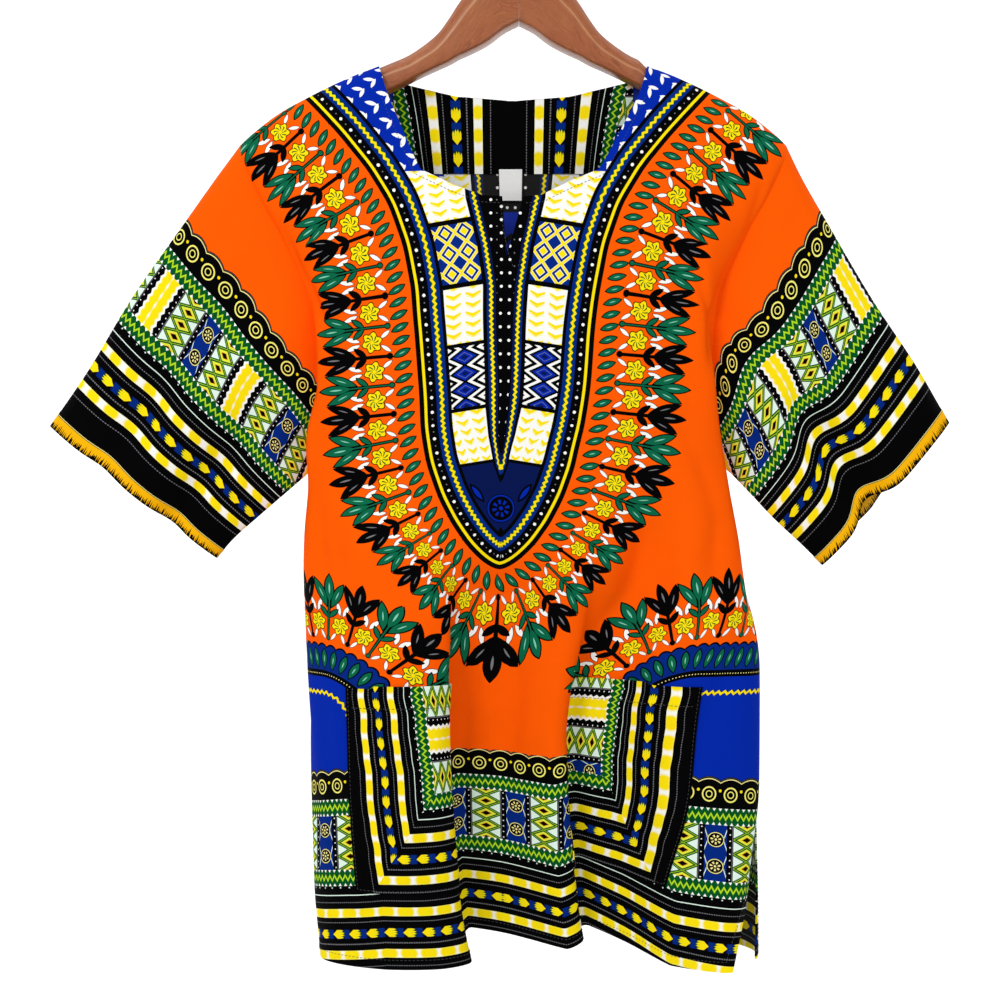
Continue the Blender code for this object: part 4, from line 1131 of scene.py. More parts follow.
# The yoke, ring and inner maps of the cloth, from its own coordinates in m
def yokeMaps(s, up):
    line, out, bend, length, ringLength, ringSqueeze = yokeLines()
    x = s * 1000 - np.interp(up * 1000, middleLine[:, 0], middleLine[:, 1])
    y = up * 1000
    tree = mathutils.kdtree.KDTree(len(line))
    for i, point in enumerate(line):
        tree.insert((*point, 0), i)
    tree.balance()
    nearest = np.array([tree.find((a, b, 0))[1] for a, b in zip(x.ravel(), y.ravel())]).reshape(x.shape)
    nearest = np.clip(nearest, 1, len(line) - 2)
    dx, dy = x - line[nearest, 0], y - line[nearest, 1]
    nx, ny = out[nearest, 0], out[nearest, 1]
    across = dx * nx + dy * ny
    ahead = dx * -ny + dy * nx
    away = np.sign(across) * np.hypot(dx, dy)
    ahead = np.clip(ahead / np.maximum(1 + bend[nearest] * across, 0.2), -0.6, 0.6)
    along = length[nearest] + ahead
    ringAlong = ringLength[nearest] + ahead * (np.gradient(ringLength) / np.gradient(length))[nearest]
    ringAway = away * (ringSqueeze[nearest] + 0.05 * smooth((y - 600) / 110))
    edge = np.abs(x) - np.interp(y, placketHalf[:, 0], placketHalf[:, 1])
    # below the placket's foot its lines go on as a point
    foot = placketHalf[0, 0]
    edge = np.where(y < foot, np.abs(x) * 0.94 + (foot - y) * 0.34, edge)
    edge = edge * (1 + 0.75 * smooth((470 - y) / 60))
    maps = {"yoke": (along, away), "ring": (ringAlong, ringAway), "inner": (edge, x)}
    return {name: np.stack(pair, -1) / 1000 for name, pair in maps.items()}, away, ringAway


# Which print each square of the cloth wears: 0 hem, 1 corner, 2 ground, 3 yoke or 4 plain
def regionsOf(s, up, away, ringAway):
    def middle(v):
        return (v[:-1, :-1] + v[1:, :-1] + v[:-1, 1:] + v[1:, 1:]) / 4

    s, up, away, ringAway = middle(s) * 1000, middle(up) * 1000, middle(away), middle(ringAway)
    region = np.where(away < yokeRows["outline"] - 1.5, 3, np.where(ringAway < sprig["deep"], 2, 4))
    ahead = np.maximum(corner["across"] - corner["flat"] - np.abs(s), 0)
    above = np.maximum(up - corner["up"], 0)
    near = np.hypot(ahead * corner["flatten"], above) - corner["ring"]
    turn = np.arctan2(ahead, above + 0.01)
    near = near * (corner["ringTop"] + corner["ringSide"] * turn)
    sprigs = (turn < corner["lastSprig"]) | (near < 6)
    inCorner = (near < corner["ringDeep"]) & (near < ringAway) & sprigs
    region = np.where(inCorner, 1, region)
    return np.where(up < border["top"], 0, region)


cloths = {}


def bodyCloths(panel):
    if not cloths:
        for name, draw in (("hem", hemPrint), ("corner", cornersPrint), ("ground", groundPrint)):
            cloths[name] = materialPair("cotton_" + name, draw)
        cloths["plain"] = materialPair("cotton_plain", plainPrint)
    pairs = [cloths[name] for name in ("hem", "corner", "ground")]
    pairs += [materialPair("cotton_yoke_" + panel, yokePrint, panel == "back"), cloths["plain"]]
    return [pair[0] for pair in pairs] + [pair[1] for pair in pairs]


# Rows: from the top edge to the first stop, then even rows down to each further stop
def bodyGrid(panel, columns, stops, topRows):
    top = topAt(panel, columns)
    first = stops[0][0]
    x = bodyAt(panel, columns, top)[0][:, 0]
    onNeck = smooth((neckHalf - np.abs(x)) / 0.008)[None, :]
    u = np.linspace(0, 1, topRows + 1)[:, None]
    rolled = u * u / (u + 0.10) * 1.10
    drop = u * onNeck + rolled * (1 - onNeck)
    heights = [top[None, :] + (first - top[None, :]) * drop]
    low = first
    for up, count in stops[1:]:
        heights.append(np.repeat(np.linspace(low, up, count + 1)[1:, None], len(columns), 1))
        low = up
    up = np.concatenate(heights)
    return np.repeat(columns[None, :], len(up), 0), up


# The cloth's middle surface, outward normals and the distance along it
def bodySurface(panel, share, up):
    p, s = bodyAt(panel, share, up)
    points = inRoom(p)
    n = normalsOf(points)
    if panel == "front":
        n = -n
    sideways = np.abs(points[..., 0] - hangShift)
    ridge = np.zeros(up.shape, bool)
    ridge[0] = sideways[0] > neckHalf - 0.0005
    points[ridge, 1] = 0.0
    depth = creaseDepth(panel, share, s, up) * 0.001
    fade = smooth((ridgeAt(p[..., 0]) - up) / 0.05)
    points = points + n * (depth * fade)[..., None]
    return points, n, s


panelGrids = {
    "front": (168, frontNeckThreads, [(0.560, 0), (0.345, 54), (0.164, 50), (0.016, 46), (0.0, 8)], 62),
    "back": (116, backNeckThreads, [(0.560, 0), (0.345, 40), (0.164, 38), (0.016, 36), (0.0, 8)], 44),
}


def bodyPanel(panel):
    columns, threads, stops, topRows = panelGrids[panel]
    columns = threadsFor(columns, threadAt(panel, *zip(*threads)).tolist())
    share, up = bodyGrid(panel, columns, stops, topRows)
    middle, out, s = bodySurface(panel, share, up)
    maps, away, ringAway = yokeMaps(s, up)
    flat = np.stack([s, up], -1)
    half = bodyHalf(panel, share, up)
    regions = regionsOf(s, up, away, ringAway)
    maps = {"flat": flat, **maps}
    made = clothPiece(panel + "_cloth", middle, out, maps, regions, bodyCloths(panel), half)
    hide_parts(panel + "_panel")
    return made, flat


panels = {panel: bodyPanel(panel) for panel in ("front", "back")}
print("front and back cloth made")


# along from the armhole (0) to the cuff (1): upper ridge x, up, lower ridge x, up, puff, swing
sleeveShapes = {
    "left": np.array([
        (0.00, 0.239, 0.694, 0.172, 0.413, 0.016, 0.000), (0.12, 0.259, 0.666, 0.180, 0.405, 0.020, 0.001),
        (0.30, 0.286, 0.626, 0.197, 0.391, 0.024, 0.003), (0.55, 0.332, 0.559, 0.221, 0.370, 0.025, 0.006),
        (0.80, 0.369, 0.496, 0.243, 0.350, 0.024, 0.009), (1.00, 0.402, 0.447, 0.258, 0.333, 0.023, 0.010),
    ]),
    "right": np.array([
        (0.00, 0.239, 0.694, 0.178, 0.413, 0.016, 0.000), (0.12, 0.253, 0.664, 0.187, 0.408, 0.020, 0.001),
        (0.30, 0.276, 0.621, 0.202, 0.394, 0.024, 0.004), (0.55, 0.313, 0.556, 0.226, 0.368, 0.026, 0.008),
        (0.80, 0.350, 0.498, 0.250, 0.345, 0.025, 0.012), (1.00, 0.377, 0.450, 0.268, 0.327, 0.024, 0.014),
    ]),
}
# across (0 upper ridge, 1 lower ridge), depth, width, start, end, how far it draws the cuff up
sleeveFolds = {
    "left": [(0.34, 0.009, 0.10, 0.05, 1.05, 0.012), (0.74, 0.010, 0.09, 0.20, 1.30, 0.012)],
    "right": [(0.30, 0.007, 0.09, 0.10, 0.85, 0.000), (0.62, 0.016, 0.11, 0.25, 1.50, 0.060)],
}
# Finer creases: across and along at one end, then at the other, depth and half width in mm, and
# 1 on the front or -1 on the back
sleeveCreases = {
    "left": [
        (0.16, 0.05, 0.22, 0.80, 1.6, 13, 1), (0.56, 0.05, 0.52, 0.70, -2.0, 14, 1),
        (0.88, 0.10, 0.90, 0.90, 2.0, 10, 1),
        (0.30, 0.10, 0.40, 0.90, 2.2, 15, -1), (0.65, 0.05, 0.70, 0.95, 2.4, 14, -1),
    ],
    "right": [
        (0.14, 0.08, 0.16, 0.75, 1.6, 12, 1), (0.44, 0.10, 0.46, 0.80, -2.2, 14, 1),
        (0.82, 0.08, 0.86, 0.95, 2.2, 11, 1),
        (0.28, 0.10, 0.34, 0.95, 2.4, 15, -1), (0.70, 0.10, 0.66, 0.90, 2.0, 13, -1),
    ],
}


# One ring of a sleeve: t runs from the upper ridge to the lower one, facing is 1 or -1
def sleeveRing(side, along, t, facing):
    folds = sleeveFolds[side]
    drawn = sum(draw * np.exp(-(((t - across) / width) ** 2)) for across, _, width, _, _, draw in folds)
    drawn = drawn * smooth(2 * along - 1) * (facing > 0)
    _, topX, topUp, lowX, lowUp, puff, swing = tableAt(sleeveShapes[side], along - drawn).T
    x, up = topX + (lowX - topX) * t, topUp + (lowUp - topUp) * t
    out = puff * np.sin(math.pi * t) ** 0.65
    for across, depth, width, start, end, _ in folds:
        here = smooth((along - start) / 0.3) * smooth((end - along) / 0.3)
        out = out - here * depth * np.exp(-(((t - across) / width) ** 2))
    sign = -1 if side == "left" else 1
    return inRoom(np.stack([sign * x, swing + facing * out, up], -1))


sleeveGrid = {"around": 92, "rings": 76, "waves": 8, "waveDepth": 0.14}


def sleeveSurface(side):
    around, rings = sleeveGrid["around"], sleeveGrid["rings"]
    sign = -1 if side == "left" else 1
    t = (1 - np.cos(np.linspace(0, math.pi, around + 1))) / 2 * 0.5 + np.linspace(0, 1, around + 1) * 0.5
    t = np.concatenate([t, t[-2:0:-1]])
    facing = np.concatenate([np.ones(around + 1), -np.ones(around - 1)])
    up = shoulderUp - t * (shoulderUp - underarmUp)
    edge = sign * (1 - seamGap / 2 / panelHalf)
    frontEdge, backEdge = (inRoom(bodyAt(panel, edge, up)[0]) for panel in ("front", "back"))
    armhole = np.where(facing[:, None] > 0, frontEdge, backEdge)
    armhole[0, 1] = 0.0
    armhole[around] = (frontEdge[around] + backEdge[around]) / 2
    first = sleeveRing(side, 0.0, t, facing)
    onward = unit(sleeveRing(side, 0.12, t, facing) - armhole)
    error = armhole + onward * seamGap - first
    alongs = np.linspace(0, 1, rings) ** 1.1
    grid = np.array([
        sleeveRing(side, along, t, facing) + error * (1 - smooth(along / 0.35)) for along in alongs
    ])
    n = normalsOf(grid, around=True)
    centre = grid.mean(axis=1, keepdims=True)
    if ((grid - centre) * n).sum() < 0:
        n = -n
    depth = np.zeros(grid.shape[:2])
    for a0, l0, a1, l1, deep, width, face in sleeveCreases[side]:
        f = np.clip((alongs - l0) / (l1 - l0), -0.3, 1.3)[:, None]
        off = (t[None, :] - (a0 + (a1 - a0) * f) - 0.02 * np.sin(f * 5)) * 210
        ends = smooth((f + 0.3) / 0.5) * smooth((1.3 - f) / 0.5)
        depth -= deep * np.exp(-((off / width) ** 2)) * ends * (facing[None, :] == face)
    fine = np.random.default_rng(5 if side == "left" else 6)
    for _ in range(sleeveGrid["waves"]):
        across = fine.uniform(8, 26) * t[None, :]
        lengthways = fine.uniform(-9, 9) * alongs[:, None]
        depth += sleeveGrid["waveDepth"] * np.sin(across + lengthways + fine.uniform(0, 6))
    fade = smooth(t / 0.08) * smooth((1 - t) / 0.08)
    depth = depth * fade[None, :] * smooth(alongs / 0.15)[:, None] * 0.001
    grid = grid + n * depth[..., None]
    # cloth coordinates: round from the upper ridge, and up from the cuff
    closed = np.concatenate([grid, grid[:, :1]], 1)
    step = np.linalg.norm(np.diff(closed, axis=1), axis=2)
    reached = np.concatenate([np.zeros((rings, 1)), np.cumsum(step, 1)], 1)[:, :-1]
    total = step.sum(1, keepdims=True)
    u = np.where(facing[None, :] > 0, reached, reached - total)
    run = np.linalg.norm(np.diff(grid[::-1], axis=0), axis=2)
    v = np.concatenate([np.zeros((1, len(t))), np.cumsum(run, 0)])[::-1]
    v = v * (sleeveRows["upper"] / (sleeveRows["upper"] - sleeveRows["shorter"] * t))[None, :]
    return grid, n, np.stack([u, v], -1), total[:, 0]


sleeves = {}
for side in ("left", "right"):
    grid, out, flat, total = sleeveSurface(side)
    turned = smooth((turnings["cuff"] + 0.0015 - flat[..., 1]) / 0.0015)
    half = turnings["cloth"] + turnings["more"] * turned
    slots = (flat[1:, :, 1] > sleeveRows["plain"]).astype(int)
    pairs = [materialPair("cotton_sleeve_" + side, sleevePrint, side), cloths["plain"]]
    cloth = [pair[0] for pair in pairs] + [pair[1] for pair in pairs]
    made = clothPiece("sleeve_cloth_" + side, grid, out, {"flat": flat}, slots, cloth, half, around=True)
    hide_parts("sleeve_" + side)
    sleeves[side] = (made, grid, out, flat, total)
print("sleeves made")


pocketEdges = {"left": (-0.172, -0.057), "right": (0.064, 0.180)}
pocketBottom, pocketTop = 0.062, 0.229


# How far a pocket's middle stands off the front's, and half its thickness
def pocketLift(side, share, up):
    left, right = pocketEdges[side]
    s = share * panelHalf
    inside = np.minimum(np.minimum(s - left, right - s), up - pocketBottom)
    turned = np.maximum(smooth((0.0075 - inside) / 0.0015), smooth((up - pocketTop + 0.0200) / 0.0015))
    half = turnings["cloth"] + 0.6 * turnings["more"] * turned
    return turnings["cloth"] + half + 0.00003 + 0.0009 * smooth((inside - 0.002) / 0.008), half


pockets = {}
for side, (left, right) in pocketEdges.items():
    share = np.linspace(left, right, 45) / panelHalf
    share, up = np.meshgrid(share, np.linspace(pocketTop, pocketBottom, 69))
    middle, out, s = bodySurface("front", share, up)
    lift, half = pocketLift(side, share, up)
    flat = np.stack([share * panelHalf, up], -1)
    cloth = materialPair("cotton_pocket_" + side, pocketPrint, side)
    slots = np.zeros(np.subtract(share.shape, 1), int)
    middle = middle + out * lift[..., None]
    made = clothPiece("pocket_cloth_" + side, middle, out, {"flat": flat}, slots, cloth, half)
    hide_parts("pocket_" + side)
    pockets[side] = (made, np.stack([s, up], -1))


# The strip inside the back neck, and the label at its lower edge
facing = {"half": 0.104, "bottom": 0.673, "behind": 0.0012}
ends = threadAt("back", np.array([-facing["half"], facing["half"]]), facing["bottom"])
columns = np.linspace(*ends, 71)
top = topAt("back", columns) - 0.0004
share = np.repeat(columns[None, :], 31, 0)
up = top[None, :] + (facing["bottom"] - top[None, :]) * (np.linspace(0, 1, 31) ** 1.3)[:, None]
middle, out, s = bodySurface("back", share, up)
facingFlat = np.stack([s, up], -1)
cloth = materialPair("cotton_facing", facingPrint)
slots = np.zeros(np.subtract(share.shape, 1), int)
middle = middle - out * facing["behind"]
facingPiece = clothPiece("neck_facing_cloth", middle, -out, {"flat": facingFlat}, slots, cloth)
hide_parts("neck_facing")

label = {"left": -0.0124, "right": 0.0080, "height": 0.027, "tuck": 0.004, "half": 0.0002}
ends = threadAt("back", np.array([label["left"], label["right"]]), facing["bottom"])
down = np.linspace(0, label["height"], 13)
share, up = np.meshgrid(np.linspace(*ends, 9), facing["bottom"] + label["tuck"] - down)
middle, out, s = bodySurface("back", share, up)
hang = 0.0024 + 0.0012 * smooth((facing["bottom"] - up) / 0.02)
flat = np.stack([s - s.mean(), up - up.min()], -1)
cloth = [satin(False), satin(True)]
slots = np.zeros(np.subtract(share.shape, 1), int)
middle = middle - out * hang[..., None]
labelPiece = clothPiece("label_cloth", middle, -out, {"flat": flat}, slots, cloth, label["half"])
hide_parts("size_label")
declareSheet(labelPiece, flat, [facingPiece])
print("pockets, facing and label made")


# A round studio of pale paper, which every view sees behind the shirt
studio = {
    "floor": -1.25, "radius": 4.4, "corner": 1.0, "wall": 2.9, "around": 96, "bends": 12, "world": 0.6,
}


def addStage():
    bend, around = studio["corner"], studio["around"]
    profile = [(studio["radius"] - bend, 0.0)]
    for k in range(1, studio["bends"] + 1):
        a = math.radians(90 * k / studio["bends"])
        profile.append((studio["radius"] - bend * (1 - math.sin(a)), bend * (1 - math.cos(a))))
    profile.append((studio["radius"], studio["wall"]))
    verts = [(0.0, 0.0, studio["floor"])]
    for r, z in profile:
        for k in range(around):
            a = 2 * math.pi * k / around
            verts.append((r * math.cos(a), r * math.sin(a), studio["floor"] + z))
    faces = [(0, 1 + k, 1 + (k + 1) % around) for k in range(around)]
    for ring in range(len(profile) - 1):
        a, b = 1 + ring * around, 1 + (ring + 1) * around
        faces += [(a + k, b + k, b + (k + 1) % around, a + (k + 1) % around) for k in range(around)]
    mesh = bpy.data.meshes.new("backdrop")
    mesh.from_pydata(verts, [], faces)
    mesh.update()
    mesh.shade_smooth()
    made = added("backdrop", mesh)
    made.visible_diffuse = False  # the world alone fills the shadows, evenly on all sides
    made.visible_shadow = False
    p = Paint("paper")
    cloud = p.noise(p.inSpace(), 3.0, 2.0)
    tone = p.over((0.90, 0.90, 0.90, 1), cloud, (0.94, 0.94, 0.94, 1))
    values = {"Base Color": tone, "Roughness": cloud * 0.1 + 0.85}
    shader = p.node("ShaderNodeBsdfPrincipled", None, values)
    p.node("ShaderNodeOutputMaterial", None, {0: shader})
    mesh.materials.append(p.material)


# x, top, bottom, half the thickness and depth of the sloping top facet of the hanger's arms
armRows = np.array([
    (0.00015, 0.862, 0.799, 0.0120, 0.012), (0.012, 0.861, 0.793, 0.0120, 0.013),
    (0.027, 0.849, 0.782, 0.0120, 0.016), (0.040, 0.834, 0.775, 0.0118, 0.017),
    (0.053, 0.817, 0.769, 0.0116, 0.017), (0.062, 0.803, 0.764, 0.0113, 0.015),
    (0.071, 0.791, 0.760, 0.0111, 0.013), (0.084, 0.780, 0.754, 0.0110, 0.011),
    (0.098, 0.771, 0.747, 0.0106, 0.010), (0.112, 0.765, 0.740, 0.0100, 0.009),
    (0.122, 0.761, 0.736, 0.0099, 0.009), (0.140, 0.756, 0.729, 0.0096, 0.009),
    (0.165, 0.745, 0.717, 0.0094, 0.009), (0.190, 0.735, 0.704, 0.0092, 0.009),
    (0.210, 0.725, 0.692, 0.0086, 0.009), (0.222, 0.715, 0.686, 0.0070, 0.008),
    (0.229, 0.710, 0.686, 0.0045, 0.006),
])
hanger = {"rings": 96, "roundings": 2, "belowCloth": 0.0015, "grain": 5.0, "gloss": 0.4}
hook = {"wire": 0.0018, "bow": 0.022, "inWood": 0.018, "around": 16}


def woodFinish():
    p = Paint("cherry_lacquer")
    uv = p.node("ShaderNodeUVMap", {"uv_map": "grain"})
    stretched = p.vector("MULTIPLY", uv, (11.0, 170.0, 1.0))
    bend = p.noise(p.vector("MULTIPLY", uv, (9, 30, 1)), 5.0, 2.0)
    drawn = p.vector("ADD", stretched, p.place(bend * 0.2, bend * 3.0))
    grain = p.noise(drawn, hanger["grain"], 6.0, Roughness=0.62)
    pores = p.noise(p.vector("MULTIPLY", uv, (60, 1500, 1)), 2.0, 2.0)
    broad = p.noise(uv, 22.0, 2.0)
    colour = p.steps(grain, 0.2, 0.8, [
        (0.2, (0.175, 0.038, 0.009, 1)), (0.5, (0.330, 0.082, 0.019, 1)), (0.8, (0.480, 0.150, 0.040, 1)),
    ], "LINEAR")
    colour = p.over(colour, (pores > 0.62) * 0.45, (0.10, 0.024, 0.008, 1))
    colour = p.over(colour, (broad - 0.42) * 1.2, (0.42, 0.15, 0.045, 1))
    # Painted highlight: a pale line along the ridge between the top facet and the front face, standing in
    # for the light that the rounded ridge catches; its strength follows the broad cloud
    wear = p.node("ShaderNodeUVMap", {"uv_map": "wear"})
    edge, _ = p.split(wear)
    colour = p.over(colour, edge * (broad * 0.9 + 0.1), (0.62, 0.33, 0.17, 1))
    return p.finish(colour, pores * 0.16 + (broad * 0.2 + 0.22), grain + pores * 0.5, 0.06, 0.0004, {
        "Specular IOR Level": 0.35, "Coat Weight": hanger["gloss"], "Coat Roughness": 0.16,
        "Coat IOR": 1.48,
    })


# One arm of the hanger, through rounded outlines, just under the cloth of the shoulder
def armPiece(side, finish):
    sign = -1 if side == "left" else 1
    at = np.concatenate([[armRows[0, 0]], np.linspace(0.002, 0.226, hanger["rings"]), [0.2282, 0.229]])
    rows = tableAt(armRows, at)
    cloth = ridgeAt(sign * at - hangShift) - hanger["belowCloth"] - 0.04 * np.maximum(0, at - 0.2)
    rings = []
    for (x, top, low, half, facet), most in zip(rows, cloth):
        top = min(top, most)
        below = top - 1.15 * facet
        outline = [
            (0.14 * half, top - 0.012 * facet), (0.42 * half, top - 0.16 * facet),
            (0.74 * half, top - 0.48 * facet), (0.94 * half, top - 0.85 * facet),
            (half, below), (half, below - 0.0025), (half, (below + low) / 2),
            (half, low + 0.0045), (0.88 * half, low + 0.0013), (0.6 * half, low),
        ]
        outline = np.array(outline + [(-out, up) for out, up in reversed(outline)])
        for _ in range(hanger["roundings"]):
            after = np.roll(outline, -1, axis=0)
            cut = [outline * 0.75 + after * 0.25, outline * 0.25 + after * 0.75]
            outline = np.stack(cut, 1).reshape(-1, 2)
        across = np.full(len(outline), sign * x)
        rings.append(np.column_stack([across, -outline[:, 0], hemZ + outline[:, 1]]))
    rings = np.array(rings)
    count = rings.shape[1]
    length = lengthAlong(rings.mean(1))
    closed = np.concatenate([rings, rings[:, :1]], 1)
    turn = np.cumsum(np.linalg.norm(np.diff(closed, axis=1), axis=2), 1)
    turn = np.concatenate([np.zeros((len(rings), 1)), turn], 1)
    number = np.arange(rings.size // 3).reshape(len(rings), count)
    r, c = np.meshgrid(np.arange(len(rings) - 1), np.arange(count), indexing="ij")
    d = (c + 1) % count
    quads = np.stack([number[r, c], number[r, d], number[r + 1, d], number[r + 1, c]], -1).reshape(-1, 4)
    if sign < 0:
        quads = quads[:, ::-1]
    faces = quads.tolist() + [number[0, ::-sign].tolist(), number[-1, ::sign].tolist()]
    mesh = bpy.data.meshes.new("arm_" + side)
    mesh.from_pydata(rings.reshape(-1, 3).tolist(), [], faces)
    grain = mesh.uv_layers.new(name="grain")
    # The second map carries the strength of a painted highlight at each point of an outline, most on the
    # ridge between the top facet and the front face
    wear = mesh.uv_layers.new(name="wear")
    index = np.arange(count)
    near = np.minimum(abs(index - 15.5), abs(index - (count - 16.5)))
    lustre = np.exp(-((near / 1.6) ** 2))
    coords = np.stack([length[:, None] * sign * np.ones(count + 1), turn], -1)
    ends = np.stack([r, c], -1).reshape(-1, 2)
    quadOrder = [(0, 0), (0, 1), (1, 1), (1, 0)]
    if sign < 0:
        quadOrder = quadOrder[::-1]
    uv = np.concatenate([coords[ends[:, :1].T + a, ends[:, 1:].T + b] for a, b in quadOrder], 0)
    uv = uv.transpose(1, 0, 2)
    shine = np.concatenate([lustre[(ends[:, 1:].T + b) % count] for a, b in quadOrder], 0).T
    caps = np.concatenate([rings[0][::-sign][:, [1, 2]], rings[-1][::sign][:, [1, 2]]])
    grain.uv.foreach_set("vector", np.concatenate([uv.reshape(-1, 2), caps]).astype(np.float32).ravel())
    flat = np.concatenate([shine.ravel(), np.zeros(len(caps))])
    wear.uv.foreach_set("vector", np.stack([flat, flat * 0], -1).astype(np.float32).ravel())
    mesh.materials.append(finish)
    mesh.validate()
    mesh.shade_smooth()
    mesh.set_sharp_from_angle(angle=math.radians(60))
    made = added("arm_" + side, mesh)
    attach(made, "root")
    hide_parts("hanger_arm_" + side)


def steelFinish():
    p = Paint("bright_steel")
    place = p.inSpace()
    brushed = p.noise(p.vector("MULTIPLY", place, (900, 900, 120)), 3.0, 3.0)
    cloud = p.noise(place, 90.0, 3.0)
    colour = p.over((0.58, 0.58, 0.57, 1), cloud, (0.74, 0.74, 0.73, 1))
    roughness = brushed * 0.18 + (cloud * 0.12 + 0.14)
    return p.finish(colour, roughness, brushed, 0.05, 0.0002, {"Metallic": 1.0})


# A wire with rounded ends along a route in the x, z plane
def tubePiece(name, route, radius, material):
    around = hook["around"]
    route = np.array(route, float)
    run = unit(np.gradient(route, axis=0))
    side = np.stack([run[:, 1], -run[:, 0]], -1)
    verts, rings = [], []
    ends = [math.radians(a) for a in (0, 22, 45, 68)]
    profile = [(0, -radius * math.cos(a), radius * math.sin(a)) for a in ends]
    profile += [(i, 0, radius) for i in range(len(route))]
    profile += [(len(route) - 1, radius * math.cos(a), radius * math.sin(a)) for a in reversed(ends)]
    for i, ahead, r in profile:
        centre = route[i] + run[i] * ahead
        ring = []
        for k in range(around):
            a = 2 * math.pi * k / around
            x, z = centre + side[i] * r * math.cos(a)
            ring.append((x, r * math.sin(a), z))
        rings.append(ring if r > 1e-9 else ring[:1])
    faces = []
    starts = []
    for ring in rings:
        starts.append(len(verts))
        verts += ring
    for a, b in zip(range(len(rings) - 1), range(1, len(rings))):
        for k in range(around):
            j = (k + 1) % around
            first = [starts[a] + k, starts[a] + j] if len(rings[a]) > 1 else [starts[a]]
            second = [starts[b] + j, starts[b] + k] if len(rings[b]) > 1 else [starts[b]]
            faces.append(first + second)
    mesh = bpy.data.meshes.new(name)
    mesh.from_pydata(verts, [], faces)
    mesh.validate()
    mesh.materials.append(material)
    mesh.shade_smooth()
    made = added(name, mesh)
    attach(made, "root")
    return made


def hookRoute():
    woodTop = hemZ + armRows[0, 1]
    centre = hook["wire"] - hook["bow"]
    route = [(0.0, woodTop - hook["inWood"]), (0.0, woodTop - 0.008), (0.0, woodTop + 0.003)]
    for degrees in range(-58, 216, 13):
        a = math.radians(degrees)
        route.append((hook["bow"] * math.cos(a), centre + hook["bow"] * math.sin(a)))
    start, end = route[2], route[3]
    bend = [
        (start[0] + share * (end[0] - start[0]), start[1] + rise * (end[1] - start[1]))
        for share, rise in ((0.12, 0.42), (0.48, 0.76))
    ]
    return route[:3] + bend + route[3:]


wood = woodFinish()
for side in ("left", "right"):
    armPiece(side, wood)
route = hookRoute()
before, after = np.array(route[0]) * 2 - route[1], np.array(route[-1]) * 2 - route[-2]
wire = curveThrough(route, before, after, 150)[0]
made = tubePiece("hook_wire", wire[2:-2], hook["wire"], steelFinish())
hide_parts("hanger_hook")
print("hanger and hook made")


# Lines of stitches: each is a short bent length of thread whose ends dip into the cloth.
stitching = {
    "length": 0.0026, "pitch": 0.0034, "thread": 0.00023, "sides": 5, "steps": 5, "above": 0.00006,
    "dip": 0.00034, "inset": 0.002, "neckTop": 0.745, "step": 0.0015,
}


# Points on the body's outer face and the way out of it there
def bodyPoint(panel, share, up, lift):
    def at(share, up):
        return inRoom(bodyAt(panel, share, up)[0])

    step = 0.0005
    across = at(share + step / panelHalf, up) - at(share - step / panelHalf, up)
    n = np.cross(across, at(share, up + step) - at(share, up - step))
    n *= (1 if panel == "front" else -1) / np.linalg.norm(n, axis=-1, keepdims=True)
    p, s = bodyAt(panel, share, up)
    depth = creaseDepth(panel, share, s, up) * 0.001 * smooth((ridgeAt(p[..., 0]) - up) / 0.05)
    return inRoom(p) + n * (depth + lift)[..., None], n


# One mesh of stitches at even places along a line of points
def stitchLine(name, points, out, thread):
    length = lengthAlong(points)
    count = int(length[-1] / stitching["pitch"])
    sides, steps = stitching["sides"], stitching["steps"]
    shape = np.linspace(-1, 1, steps)
    at = ((np.arange(count) + 0.5) * length[-1] / count)[:, None] + shape * stitching["length"] / 2
    place = sampled(at, length, points)
    n = unit(sampled(at, length, out))
    run = unit(np.gradient(place, axis=1))
    side = np.cross(run, n)
    rise = (stitching["above"] - stitching["dip"] * shape**4)[None, :, None]
    radius = stitching["thread"] * (1 - 0.45 * shape**4)[None, :, None]
    turns = 2 * np.pi * np.arange(sides) / sides
    rings = [place + n * rise + radius * (n * math.sin(a) + side * math.cos(a)) for a in turns]
    rings = np.stack(rings, 2)
    around = [(k, (k + 1) % sides, sides + (k + 1) % sides, sides + k) for k in range(sides)]
    one = [[r * sides + k for k in square] for r in range(steps - 1) for square in around]
    starts = np.arange(count) * sides * steps
    quads = (np.array(one)[None] + starts[:, None, None]).reshape(-1, 4).tolist()
    last = sides * (steps - 1)
    caps = [[int(i) + k for k in reversed(range(sides))] for i in starts]
    caps += [[int(i) + last + k for k in range(sides)] for i in starts]
    mesh = bpy.data.meshes.new(name)
    mesh.from_pydata(rings.reshape(-1, 3).tolist(), [], quads + caps)
    mesh.materials.append(thread)
    mesh.shade_smooth()
    made = added(name, mesh)
    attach(made, "root")
    return made


def threadFinish(name, colour, light):
    p = Paint(name)
    twist = p.noise(p.inSpace(), 2500.0, 2.0)
    mixed = p.over(colour, twist * 0.6, light)
    return p.finish(mixed, twist * 0.3 + 0.5, twist, 0.3, 0.0001, {"Specular IOR Level": 0.2})


# Even points along straight legs between corners given as a thread and a height
def legs(corners):
    made = []
    for start, end in zip(np.array(corners[:-1]), np.array(corners[1:])):
        length = math.hypot((end[0] - start[0]) * panelHalf, end[1] - start[1])
        shares = np.linspace(0, 1, max(2, int(length / stitching["step"])))
        made.append(start + (end - start) * shares[:, None])
    return np.concatenate(made).T


blackThread = threadFinish("black_thread", "black", "ash")
goldThread = threadFinish("gold_thread", "gold", "yellow")


# Black stitches through the front's cloth, along a line of places
def frontStitches(name, x, up):
    share = threadAt("front", x, up)
    points, out = bodyPoint("front", share, up, bodyHalf("front", share, up))
    return stitchLine(name, points, out, blackThread)


